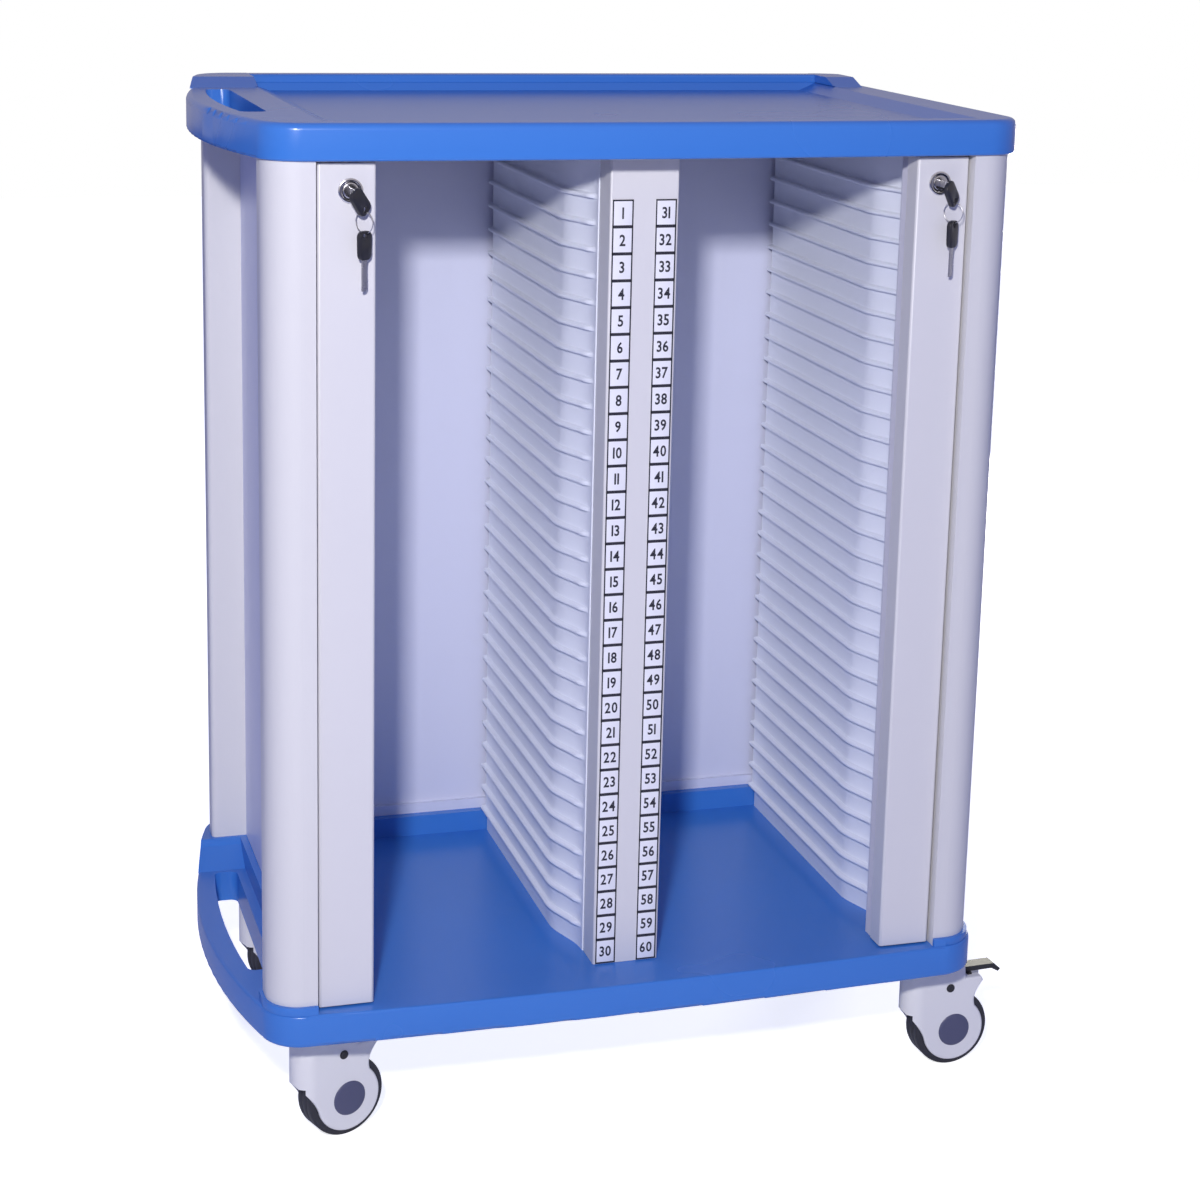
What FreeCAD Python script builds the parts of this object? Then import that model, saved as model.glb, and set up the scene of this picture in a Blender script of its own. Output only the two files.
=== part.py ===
"""Medical chart rack: a mobile cabinet with two bays of thirty ledged slots.

The cabinet is drawn about the plane between its bays (x = 0), with the front face of
the door stiles at y = 0 and the floor at z = 0.  Every piece is then moved by the same
shift, so that the exported model stands on the origin at the centre of its own box.
All sizes are in millimetres.
"""
import FreeCAD, Part
import math
import os

V = FreeCAD.Vector
UP = V(0, 0, 1)
OUT = "parts"

# ---- driving dimensions: slots, bays and cabinet ------------------------------------
SLOT_PITCH = 28.0
SLOT_COUNT = 30
LEDGE_DEPTH = 6.0
LEDGE_THICK = 5.0
LABEL_RISE = 1.0            # foot of the lowest label above the deck
HEAD_SPACE = 42.0           # highest ledge to the top of the liners
HEAD_GAP = 7.0              # top of the liners to the ceiling plate
BAY_WIDTH = 245.0           # wall to wall, without the ledges
DIVIDER_HALF = 55.0         # centre plane to the divider's liner face
STILE_WIDTH = 61.0
STILE_LAP = 13.0            # stile over the mouth of its bay
STILE_DEPTH = 26.0
COLUMN_WIDTH = 50.0
COLUMN_DEPTH = 56.0
COLUMN_ROUND = 36.0         # outer edge at the cabinet's corner
COLUMN_EDGE = 6.0           # its other outer edge
COLUMN_WALL = 2.5
COLUMN_PROUD = 9.0          # front columns stand this far before the stiles
CABINET_DEPTH = 490.0       # stile face to the back of the rear columns
POST_SETBACK = 35.0         # label post behind the stile face
POST_HALF = 37.0
POST_DEPTH = 38.0
POST_WALL = 1.5
POST_EDGE = 2.0
REAR_POST = 16.0            # depth of the rear upright between the bays
CROSS_PLATE = 2.0           # plates between the label post and the rear upright
CROSS_FOOT = 14.0           # lowest plate above the upstands
CROSS_HEAD = 20.0           # highest plate below the top of the liners
CROSS_INSET = 3.0           # tongues of the plates, inside the post

# ---- base, tray and panels ----------------------------------------------------------
BASE_BOTTOM = 142.0
BASE_HEIGHT = 36.0
DECK_THICK = 5.0
UPSTAND = 25.0              # rear and side upstands above the deck
COLLAR = 9.0                # collar round the foot of a front column
COLLAR_WALL = 4.0
SKIN = 5.0                  # wall of the moulded base and tray
RIM_OVERHANG = 8.0          # base and tray beyond the columns at the sides
RIM_FRONT = 4.0             # and beyond the faces of the front columns
RIM_REAR = 7.0              # and behind the rear columns
RIM_CORNER = 45.0
FRONT_BOW = 10.0            # bulge of the front edge
BASE_EDGES = (5.0, 3.0)     # rounding of the lower and upper edges of the base
TRAY_EDGES = (3.0, 7.0)     # and of the tray
UPSTAND_HALF = 8.0          # side upstands, half their width
UPSTAND_GAP = 3.0           # rear upstand to the liners
TRAY_SKIRT = 2.0            # tray skirt below the ceiling plate
TRAY_FLOOR = 27.0           # tray floor above the ceiling plate
TRAY_LIP = 8.0              # side and front lips above the tray floor
REAR_RIM = 18.0             # rear rim above the tray floor
REAR_RIM_DEPTH = 24.0
REAR_RIM_INSET = 15.0       # its ends inside the tray's sides
REAR_RIM_ROUND = 8.0
RETURN_DEPTH = 60.0         # raised corners at the ends of the rear rim
RETURN_EASE = 30.0          # and their slope down to the lips
RECESS = (88.0, 73.0, 25.0, 31.0)   # recess floor in from the left, right, front and rear
RECESS_SLOPE = (22.0, 7.0)  # run of its sides and of its front and rear
PLATE = 2.0                 # ceiling plate
PLATE_CLEAR = 1.0           # between its edge and the tray's skirt
PANEL = 3.0
PANEL_INSET = 41.0          # side panel behind the outer face of the columns
BACK_GAP = 25.0             # back panel before the rear face of the columns
BACK_RAIL = (12.0, 6.0)     # height and depth of the rails on the back panel

# ---- handles at the left end --------------------------------------------------------
HANDLE_REACH = 29.0         # bow beyond the side of the base and tray
HANDLE_BAR = 24.0
HANDLE_ENDS = (110.0, 105.0)  # bow's ends from the stile face and from the rear
HANDLE_TUCK = 14.0          # bow's ends, inside the side of the base and tray
HANDLE_INNER = 30.0         # cabinet side of the hand hole, outside the side panel
HANDLE_ROUND = 9.0
HANDLE_CROOK = 9.0          # ends of the hand hole, inside the middle of its arc
ROOT_EASE = 7.0             # shoulder of the lower handle's raised root

# ---- liners -------------------------------------------------------------------------
LINER_WALL = 2.5
FLARE = 17.0                # lead-in at the mouth of a bay
FLARE_START = 78.0
FLARE_END = 150.0
LINER_FRONT = 73.5
LINER_BACK = 10.0           # liners before the back panel
LEDGE_FADE = (0.35, 0.04)   # along the lead-in: where a ledge thins, and where it ends
LEDGE_THIN = 0.7            # its depth there, as a share of the full depth
LEDGE_CHAMFER = 3.0
LINER_NOTCH = 10.0

# ---- doors --------------------------------------------------------------------------
DOOR_CLEAR = 2.0            # under a stile
STILE_WALL = 2.0
STILE_HEAD = 5.0            # stile below the ceiling plate
STILE_EDGE = 3.0
STILE_CLEAR = 2.5           # between a stowed stile and its column
MEET_GAP = 1.0              # between the closed stiles
TRACK_CLEAR = 0.5
TRACK_WALL = 1.5
TRACK_HEIGHT = 14.0
TONGUE = (9.0, 15.0)
LEAF_COUNT = 4
LEAF_WIDTH = 58.0
LEAF_THICK = 2.0
LEAF_PITCH = 3.0
LEAF_FRONT = 32.0
LEAF_CLEAR = 0.3
LEAF_INSET = 0.5            # stacked leaves inside the outer edge of the stile
LEAF_RIB = 0.5
LEAF_RIBS = 4
LEAF_GROOVE = 4.0           # between two ribs
GUIDE_THICK = 2.0

# ---- locks and keys -----------------------------------------------------------------
LOCK_BELOW_CEILING = 32.0
LOCK_OFFSET = 35.5          # lock axis from the outer edge of the stile
LOCK_FLANGE = (12.5, 2.0)
LOCK_BARREL = 9.5
PLUG_RADIUS = 6.5
FIT = 0.05
CAM = (30.0, 13.0, 2.0)     # length, width, thickness
CAM_ROUND = 5.0
PLUG_PROUD = 0.6            # plug before the flange
PLUG_TAIL = 1.5             # and behind the stile
FLANGE_EDGE = 0.8
KEY_BLADE = (2.0, 7.0)
KEY_BLADE_LENGTH = 30.0
KEY_REACH = 21.5            # blade before the stile face
KEYWAY_DEPTH = 10.0
KEY_HEAD = (21.0, 30.0, 5.0)
KEY_HOLE = 3.2
KEY_ROUND = 5.0             # corners of a head, and its hole from its end
KEY_OVERLAP = 3.0           # blade inside the head
KEY_TURN = 37.0             # the key heads face this far to the right
KEY_DROOP = 40.0            # the folded head hangs this far off the vertical
RING_RADIUS = 11.0
RING_WIRE = 0.9
RING_CLEAR = 0.6            # wire to the edge of the hole that it hangs in

# ---- labels -------------------------------------------------------------------------
CARD = (22.5, 27.0, 0.8)
CARD_EDGE = 2.5             # card in from the side of the post

# ---- casters ------------------------------------------------------------------------
WHEEL_RADIUS = 45.0
TYRE_WIDTH = 30.0
TYRE_THICK = 10.0
TYRE_CROWN = 3.0
TRAIL = 32.0
SHELL_RADIUS = 37.5
SHELL_WALL = 4.0
SHELL_EDGE = 2.5            # rounding of its outer edges
SHELL_GAP = 1.0
SHELL_ARCH = 3.0            # shell over the tread
SHELL_TOP = BASE_BOTTOM - 3.0
SWIVEL_COLLAR = 22.0        # fixed race over the shell
SWIVEL_GAP = 0.5
SHELL_HEEL = 28.0           # shell behind the kingpin, rounded across its full width
SHELL_OPEN = 22.0           # its back wall stops this far above the wheel centre
SHELL_NOSE = 36.0           # shell beyond the wheel centre
SHELL_NOSE_LIFT = 57.0      # its tip above the wheel centre
SHELL_STEP = 62.0           # ledge of the nose above the wheel centre
SHELL_BROW = 13.0           # where the nose steps down, beyond the wheel centre
SHELL_SHOULDER = 25.0       # foot of the heel above the wheel centre
CHEEK_HEEL = -165.0         # angles at which the round cheek ends
CHEEK_NOSE = 45.0
KINGPIN_RADIUS = 6.0
KINGPIN_FOOT = 96.0
CASTER_PLATE = (54.0, 3.0)
PLATE_CORNER = 8.0
HUB_CAP = (19.5, 1.5)
AXLE_RADIUS = 5.0
PEDAL = (46.0, 16.0, 6.0)
PEDAL_PIN = 3.0
PIN_SEAT = 3.0
PEDAL_RISE = 61.0           # pedal pin above the wheel centre
PEDAL_REACH = 22.0          # and beyond it
PEDAL_ROOT = 4.5
PEDAL_CLEAR = 0.6
PEDAL_TIP = (12.0, 5.0)      # length of the bent tip and how far it drops
CASTER_INBOARD = 8.0        # left kingpins, clear of the hand hole
CASTER_OUTBOARD = 24.0      # right kingpins
CASTER_Y = 60.0
FRAME_TUBE = 16.0           # height of the frame bars
FRAME_BAR = 18.0            # and their width
FRAME_SPACING = 0.75        # outer cross bars, as a share of the bay
PAD_HALF = 20.0             # pad on the frame over a caster
SWIVEL = {"front_left": 20.0, "front_right": 3.0, "rear_left": 20.0, "rear_right": 6.0}
BRAKED = ("front_right", "rear_left")

# ---- fasteners ----------------------------------------------------------------------
SCREW_HEAD = (5.0, 2.5)
SCREW_SHANK = 2.5
SCREW_LENGTH = 20.0
PORT_RADIUS = 5.0
PORT_BORE = 2.6
PORT_INSET = 14.0           # ports in from the front and rear faces of a column

# ---- values worked out from the above -----------------------------------------------
DECK = BASE_BOTTOM + BASE_HEIGHT
LABEL_LOW = DECK + LABEL_RISE
LEDGE_TOP = LABEL_LOW + SLOT_COUNT * SLOT_PITCH
LINER_TOP = LEDGE_TOP + HEAD_SPACE
CEILING = LINER_TOP + HEAD_GAP
SHELF = DECK + UPSTAND
BAY_OUTER = DIVIDER_HALF + BAY_WIDTH
STILE_IN = BAY_OUTER - STILE_LAP
STILE_OUT = STILE_IN + STILE_WIDTH
COLUMN_OUT = STILE_OUT + COLUMN_WIDTH
HALF_WIDTH = COLUMN_OUT + RIM_OVERHANG
FRONT = -COLUMN_PROUD - RIM_FRONT
REAR = CABINET_DEPTH + RIM_REAR
FRONT_COLUMN = (-COLUMN_PROUD, -COLUMN_PROUD + COLUMN_DEPTH)
REAR_COLUMN = (CABINET_DEPTH - COLUMN_DEPTH, CABINET_DEPTH)
HANDLE_SPAN = (HANDLE_ENDS[0], CABINET_DEPTH - HANDLE_ENDS[1])
BACK_Y = CABINET_DEPTH - BACK_GAP - PANEL
LINER_REAR = BACK_Y - LINER_BACK
PANEL_X = COLUMN_OUT - PANEL_INSET
TRAY_TOP = CEILING + TRAY_FLOOR
DOOR_TRAVEL = STILE_IN - MEET_GAP / 2
CORE_RADIUS = WHEEL_RADIUS - TYRE_THICK
SHELL_HALF = TYRE_WIDTH / 2 + SHELL_GAP + SHELL_WALL
CASTER_X = {"left": -STILE_OUT + CASTER_INBOARD, "right": STILE_OUT + CASTER_OUTBOARD}
SHIFT = V(0, 0, 0)          # set below, once the outline is known


# ---- helpers ------------------------------------------------------------------------
def box(x0, x1, y0, y1, z0, z1):
    """Block between two corners given as ranges."""
    return Part.makeBox(x1 - x0, y1 - y0, z1 - z0, V(x0, y0, z0))


def rod(radius, start, axis, length):
    """Round bar from a point along an axis."""
    return Part.makeCylinder(radius, length, start, axis)


def prism(points, z0, z1):
    """Upright prism over a plan polygon."""
    wire = Part.makePolygon([V(x, y, z0) for x, y in points + points[:1]])
    return Part.Face(wire).extrude(V(0, 0, z1 - z0))


def upright_edges(shape, test):
    """Vertical edges whose middle point passes the test."""
    chosen = []
    for edge in shape.Edges:
        ends = [vertex.Point for vertex in edge.Vertexes]
        if len(ends) < 2:
            continue
        run = ends[1] - ends[0]
        if math.hypot(run.x, run.y) < 1e-6 and test((ends[0] + ends[1]) * 0.5):
            chosen.append(edge)
    return chosen


def level_edges(shape, z):
    """Edges that lie wholly at one height."""
    return [e for e in shape.Edges
            if abs(e.BoundBox.ZMin - z) < 1e-4 and abs(e.BoundBox.ZMax - z) < 1e-4]


def mirrored(shape):
    """The same piece on the other side of the centre plane."""
    return shape.mirror(V(0, 0, 0), V(1, 0, 0))


def save(name, shape):
    """Write one sub-part, moved to the model's own origin."""
    moved = shape.copy()
    moved.translate(SHIFT)
    moved.exportStep(os.path.join(OUT, name + ".step"))


# ---- base and tray ------------------------------------------------------------------
def rim_block(z0, z1, inset=0.0, with_handle=True):
    """Base or tray outline between two heights: rounded corners, a bowed front edge and,
    at the left end, the bow of the handle."""
    x1, y0, y1 = HALF_WIDTH - inset, FRONT + inset, REAR - inset
    corners = [V(x1, y0, z0), V(x1, y1, z0), V(-x1, y1, z0), V(-x1, y0, z0)]
    if with_handle:
        corners[2].x += HANDLE_TUCK
        corners[3].x += HANDLE_TUCK
        left = Part.Arc(corners[2], V(-x1 - HANDLE_REACH, (y0 + y1) / 2, z0), corners[3])
    else:
        left = Part.LineSegment(corners[2], corners[3])
    sides = [Part.Arc(corners[3], V(0, y0 - FRONT_BOW, z0), corners[0]), left,
             Part.LineSegment(corners[0], corners[1]),
             Part.LineSegment(corners[1], corners[2])]
    wire = Part.Wire(Part.__sortEdges__([side.toShape() for side in sides]))
    block = Part.Face(wire).extrude(V(0, 0, z1 - z0))
    return block.makeFillet(RIM_CORNER - inset, upright_edges(block, lambda p: True))


def hand_hole(z0, z1):
    """The hole behind the bow: an arc along the bar, straight on the cabinet side."""
    y0, y1 = HANDLE_SPAN
    outer = -HALF_WIDTH - HANDLE_REACH + HANDLE_BAR
    inner = -HALF_WIDTH + HANDLE_INNER
    ends = outer + HANDLE_CROOK
    a, b = V(ends, y1, z0), V(ends, y0, z0)
    arc = Part.Arc(a, V(outer, (y0 + y1) / 2, z0), b).toShape()
    sides = [Part.LineSegment(b, V(inner, y0, z0)).toShape(),
             Part.LineSegment(V(inner, y0, z0), V(inner, y1, z0)).toShape(),
             Part.LineSegment(V(inner, y1, z0), a).toShape()]
    hole = Part.Face(Part.Wire([arc] + sides)).extrude(V(0, 0, z1 - z0))
    return hole.makeFillet(HANDLE_ROUND, upright_edges(hole, lambda p: True))


def hole_surround(z0, z1):
    """Block left standing round the hand hole."""
    y0, y1 = HANDLE_SPAN
    return box(-HALF_WIDTH, -HALF_WIDTH + HANDLE_INNER + SKIN, y0 - SKIN, y1 + SKIN, z0, z1)


def column_block(y_range, z0, z1, grow=0.0):
    """Left-hand column outline between two heights, broadly rounded at the cabinet's corner."""
    y0, y1 = y_range[0] - grow, y_range[1] + grow
    block = box(-COLUMN_OUT - grow, -STILE_OUT + grow, y0, y1, z0, z1)
    corner_y, inner_y = (y0, y1) if y_range is FRONT_COLUMN else (y1, y0)
    for y, radius in ((corner_y, COLUMN_ROUND), (inner_y, COLUMN_EDGE)):
        chosen = upright_edges(block, lambda p: p.x < -COLUMN_OUT - grow + 0.01 and
                               abs(p.y - y) < 0.01)
        block = block.makeFillet(radius + grow, chosen)
    return block


def both_sides(shape):
    """A piece and its mirror image."""
    return [shape, mirrored(shape)]


def screw_places(y_range):
    """Plan points of a column's two screw ports."""
    x = -COLUMN_OUT + COLUMN_WIDTH - PORT_RADIUS - 1.0
    y0, y1 = y_range
    return [(x, y0 + PORT_INSET), (x, y1 - PORT_INSET)]


def base_tray():
    """Moulded base: deck, skirt, collars, rear and side upstands, handle at one end."""
    base = rim_block(BASE_BOTTOM, DECK)
    base = base.makeFillet(BASE_EDGES[0], level_edges(base, BASE_BOTTOM))
    base = base.makeFillet(BASE_EDGES[1], level_edges(base, DECK))
    under = rim_block(BASE_BOTTOM, DECK - DECK_THICK, SKIN, False)
    base = base.cut(under.cut(hole_surround(BASE_BOTTOM, DECK)))
    base = base.cut(hand_hole(BASE_BOTTOM - 1, DECK + 1))
    parts = []
    for piece in both_sides(column_block(REAR_COLUMN, DECK, SHELF, COLLAR_WALL)):
        parts.append(piece)
    collar = column_block(FRONT_COLUMN, DECK, DECK + COLLAR, COLLAR_WALL)
    collar = collar.common(box(-HALF_WIDTH, -STILE_OUT, FRONT - COLLAR, REAR, DECK, SHELF))
    parts += both_sides(collar.cut(column_block(FRONT_COLUMN, DECK, SHELF)))
    side = box(-PANEL_X - UPSTAND_HALF, -PANEL_X + UPSTAND_HALF, FRONT_COLUMN[1],
               REAR_COLUMN[0], DECK, SHELF)
    parts += both_sides(side)
    parts.append(box(-STILE_OUT, STILE_OUT, LINER_REAR - LINER_NOTCH + UPSTAND_GAP,
                     REAR - SKIN, DECK, SHELF))
    parts.append(handle_root())
    base = base.fuse(parts).removeSplitter()
    for y_range in (FRONT_COLUMN, REAR_COLUMN):
        for x, y in screw_places(y_range):
            for side in (x, -x):
                hole = rod(PORT_BORE, V(side, y, BASE_BOTTOM), UP, SHELF)
                base = base.cut(hole)
                if y_range is REAR_COLUMN:
                    well = rod(SCREW_HEAD[0] + 1, V(side, y, BASE_BOTTOM), UP,
                               SHELF - DECK_THICK - BASE_BOTTOM)
                    base = base.cut(well)
    return base


def handle_root():
    """Raised root of the lower handle: it stands round the rear column and slopes to the bow."""
    y0 = REAR_COLUMN[0] - COLLAR_WALL
    foot = HANDLE_SPAN[1] + SKIN
    reach = HALF_WIDTH + HANDLE_REACH
    side = [(foot, DECK - 1), (foot, DECK), (y0 - ROOT_EASE, SHELF - ROOT_EASE), (y0, SHELF),
            (REAR, SHELF), (REAR, DECK - 1)]
    wire = Part.makePolygon([V(-reach, y, z) for y, z in side + side[:1]])
    wedge = Part.Face(wire).extrude(V(reach - PANEL_X - UPSTAND_HALF, 0, 0))
    return wedge.common(rim_block(DECK - 1, SHELF))


def recess(floor, z0, z1):
    """Tapered hollow over a rectangular floor, wider at its mouth by the side slopes."""
    x0, x1, y0, y1 = floor
    rise = (z1 - z0 + 1) / (z1 - z0)
    side, end = RECESS_SLOPE[0] * rise, RECESS_SLOPE[1] * rise
    low = [(x0, y0), (x1, y0), (x1, y1), (x0, y1)]
    high = [(x0 - side, y0 - end), (x1 + side, y0 - end), (x1 + side, y1 + end), (x0 - side, y1 + end)]
    rings = [Part.makePolygon([V(x, y, z) for x, y in ring + ring[:1]])
             for ring, z in ((low, z0), (high, z1 + 1))]
    return Part.makeLoft(rings, True, True)


def rim_returns(z1):
    """Raised rear corners of the tray on each side of the recess, sloping down to the lips."""
    top = TRAY_TOP + REAR_RIM
    y0 = REAR - RETURN_DEPTH
    side = [(y0 - RETURN_EASE, z1 - 1), (y0 - RETURN_EASE, z1), (y0, top), (REAR, top),
            (REAR, z1 - 1)]
    spans = ((-HALF_WIDTH - HANDLE_REACH, -HALF_WIDTH + RECESS[0] - RECESS_SLOPE[0]),
             (HALF_WIDTH - RECESS[1] + RECESS_SLOPE[0], HALF_WIDTH - REAR_RIM_INSET))
    outline = rim_block(z1 - 1, top, 1.0)
    corners = []
    for x0, x1 in spans:
        wire = Part.makePolygon([V(x0, y, z) for y, z in side + side[:1]])
        corners.append(Part.Face(wire).extrude(V(x1 - x0, 0, 0)).common(outline))
    return corners


def top_tray():
    """Moulded top tray: skirt, recessed floor, lips, raised rear rim and handle."""
    z0, z1 = CEILING - TRAY_SKIRT, TRAY_TOP + TRAY_LIP
    tray = rim_block(z0, z1)
    tray = tray.makeFillet(TRAY_EDGES[1], level_edges(tray, z1))
    tray = tray.makeFillet(TRAY_EDGES[0], level_edges(tray, z0))
    rear = rim_block(z1 - 1, TRAY_TOP + REAR_RIM, 1.0, False)
    ends = HALF_WIDTH - REAR_RIM_INSET
    rear = rear.common(box(-ends, ends, REAR - REAR_RIM_DEPTH, REAR, z0, z1 + REAR_RIM))
    corners = upright_edges(rear, lambda p: p.y < REAR - REAR_RIM_DEPTH + 1)
    rear = rear.makeFillet(REAR_RIM_ROUND, corners)
    rear = rear.makeFillet(TRAY_EDGES[0], level_edges(rear, TRAY_TOP + REAR_RIM))
    tray = tray.fuse([rear] + rim_returns(z1)).removeSplitter()
    inside = rim_block(z0, TRAY_TOP - SKIN, SKIN, False)
    tray = tray.cut(inside.cut(hole_surround(z0, z1)))
    x0, x1, y0, y1 = RECESS
    floor = (-HALF_WIDTH + x0, HALF_WIDTH - x1, FRONT + y0, REAR - y1)
    tray = tray.cut(recess(floor, TRAY_TOP, z1))
    return tray.cut(hand_hole(z0 - 1, z1 + REAR_RIM))


# ---- columns, panels and frame ------------------------------------------------------
def column(y_range, z0):
    """Hollow extruded column with two screw ports."""
    outer = column_block(y_range, z0, CEILING)
    core = column_block(y_range, z0, CEILING, -COLUMN_WALL)
    ports = [rod(PORT_RADIUS, V(x, y, z0), UP, CEILING - z0) for x, y in screw_places(y_range)]
    post = outer.cut(core).fuse(ports).common(outer)
    for x, y in screw_places(y_range):
        post = post.cut(rod(PORT_BORE, V(x, y, z0), UP, CEILING - z0))
    return post.removeSplitter()


def column_screws():
    """Screws that hold the columns to the base and to the ceiling plate."""
    radius, height = SCREW_HEAD
    screws = []
    for y_range, seat in ((FRONT_COLUMN, DECK - DECK_THICK), (REAR_COLUMN, SHELF - DECK_THICK)):
        for x, y in screw_places(y_range):
            low = rod(radius, V(x, y, seat - height), UP, height)
            low = low.fuse(rod(SCREW_SHANK, V(x, y, seat), UP, SCREW_LENGTH))
            top = CEILING + PLATE
            high = rod(radius, V(x, y, top), UP, height)
            high = high.fuse(rod(SCREW_SHANK, V(x, y, top - SCREW_LENGTH), UP, SCREW_LENGTH))
            screws += both_sides(low) + both_sides(high)
    return Part.makeCompound(screws)


def ceiling_plate():
    """Steel plate under the tray that ties the column heads together."""
    z1 = CEILING + PLATE
    plate = rim_block(CEILING, z1, SKIN + PLATE_CLEAR, False)
    around = box(-HALF_WIDTH, -HALF_WIDTH + HANDLE_INNER + SKIN + PLATE_CLEAR, FRONT, REAR, CEILING, z1)
    slot = box(-STILE_OUT, STILE_OUT, TONGUE[0] - TRACK_CLEAR - TRACK_WALL,
               TONGUE[1] + TRACK_CLEAR + TRACK_WALL, CEILING, z1)
    plate = plate.cut([around, slot])
    for y_range in (FRONT_COLUMN, REAR_COLUMN):
        for x, y in screw_places(y_range):
            for side in (x, -x):
                plate = plate.cut(rod(PORT_BORE, V(side, y, CEILING), UP, PLATE))
    return plate


def side_panel():
    """Plain outer panel between two columns."""
    return box(-PANEL_X, -PANEL_X + PANEL, FRONT_COLUMN[1], REAR_COLUMN[0], SHELF, CEILING)


def back_panel():
    """Plain back panel between the rear columns."""
    return box(-STILE_OUT, STILE_OUT, BACK_Y, BACK_Y + PANEL, SHELF, CEILING)


def back_rails():
    """Rails across the foot and the head of the back panel."""
    height, depth = BACK_RAIL
    rails = [box(-STILE_OUT, STILE_OUT, BACK_Y - depth, BACK_Y, z, z + height)
             for z in (SHELF, CEILING - height)]
    return Part.makeCompound(rails)


def base_frame():
    """Welded frame of square tubes under the deck, with a pad over each caster."""
    z1 = DECK - DECK_THICK
    z0 = z1 - FRAME_TUBE
    half = FRAME_BAR / 2
    rows = (CASTER_Y, CABINET_DEPTH - CASTER_Y)
    left, right = CASTER_X["left"], CASTER_X["right"]
    bars = [box(left - half, right + half, y - half, y + half, z0, z1) for y in rows]
    middle = DIVIDER_HALF + BAY_WIDTH * FRAME_SPACING
    bars += [box(x - half, x + half, rows[0], rows[1], z0, z1) for x in (-middle, 0.0, middle)]
    bars += [box(x - PAD_HALF, x + PAD_HALF, y - PAD_HALF, y + PAD_HALF, z0, z1)
             for x in (left, right) for y in rows]
    return bars[0].fuse(bars[1:]).removeSplitter()


# ---- liners, divider and labels -----------------------------------------------------
def ledge_heights():
    """Tops of the ledges, from the lowest up."""
    return [LABEL_LOW + (i + 1) * SLOT_PITCH for i in range(SLOT_COUNT)]


def liner(face_x, side):
    """Ledged bay wall; side is +1 where the bay lies on its +x side, else -1.

    The moulded wall is one solid and each of its ledges another, face to face with it,
    so that every slot between two ledges stays open.
    """
    out = face_x - side * FLARE
    path = [(out, LINER_FRONT), (out, FLARE_START), (face_x, FLARE_END), (face_x, LINER_REAR)]
    back = [(x - side * LINER_WALL, y) for x, y in reversed(path)]
    wall = prism(path + back, DECK, LINER_TOP)
    wall = wall.cut(box(face_x - 30, face_x + 30, LINER_REAR - LINER_NOTCH,
                        LINER_REAR + 1, DECK, SHELF + 1))

    def on_flare(share, proud):
        return (out + side * (FLARE * share + proud), FLARE_START + (FLARE_END - FLARE_START) * share)

    thin, end = LEDGE_FADE
    front = [on_flare(thin, LEDGE_DEPTH * LEDGE_THIN), on_flare(end, 0.0)]
    nose = face_x + side * LEDGE_DEPTH
    solids = [wall]
    for top in ledge_heights():
        rear = LINER_REAR - LINER_NOTCH if top < SHELF + LEDGE_THICK + 1 else LINER_REAR
        plan = [(face_x, FLARE_END), (face_x, rear), (nose, rear), (nose, FLARE_END + LEDGE_CHAMFER)] + front
        solids.append(prism(plan, top - LEDGE_THICK, top))
    return Part.makeCompound(solids)


def divider_frame():
    """Folded label post, rear upright and the cross plates between them."""
    y0, y1 = POST_SETBACK, POST_SETBACK + POST_DEPTH
    rear_y = LINER_REAR - LINER_NOTCH
    post = box(-POST_HALF, POST_HALF, y0, y1, DECK, LINER_TOP)
    post = post.makeFillet(POST_EDGE, upright_edges(post, lambda p: p.y < y0 + 1))
    inner = POST_HALF - POST_WALL
    post = post.cut(box(-inner, inner, y0 + POST_WALL, y1, DECK, LINER_TOP))
    rear = box(-POST_HALF, POST_HALF, rear_y - REAR_POST, rear_y, DECK, LINER_TOP)
    half = DIVIDER_HALF - LINER_WALL
    tongue = POST_HALF - CROSS_INSET
    levels = (SHELF + CROSS_FOOT, (DECK + LINER_TOP) / 2, LINER_TOP - CROSS_HEAD)
    cross = [box(-half, half, FLARE_END, rear_y, z, z + CROSS_PLATE) for z in levels]
    cross += [box(-tongue, tongue, y0 + 1, FLARE_END + 1, z, z + CROSS_PLATE) for z in levels]
    return post.fuse([rear] + cross).removeSplitter()


def label_cards():
    """One numbered card per slot, in two columns on the face of the post."""
    width, height, thick = CARD
    cards = []
    for top in ledge_heights():
        middle = top - SLOT_PITCH / 2
        for x in (-POST_HALF + CARD_EDGE, POST_HALF - CARD_EDGE - width):
            cards.append(box(x, x + width, POST_SETBACK - thick, POST_SETBACK,
                             middle - height / 2, middle + height / 2))
    return Part.makeCompound(cards)


# ---- doors --------------------------------------------------------------------------
def door_track():
    """Channel above the bays in which both stiles run."""
    y0, y1 = TONGUE[0] - TRACK_CLEAR, TONGUE[1] + TRACK_CLEAR
    x = STILE_OUT
    outer = box(-x, x, y0 - TRACK_WALL, y1 + TRACK_WALL, CEILING, CEILING + TRACK_HEIGHT)
    return outer.cut(box(-x, x, y0, y1, CEILING, CEILING + TRACK_HEIGHT - TRACK_WALL))


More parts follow.
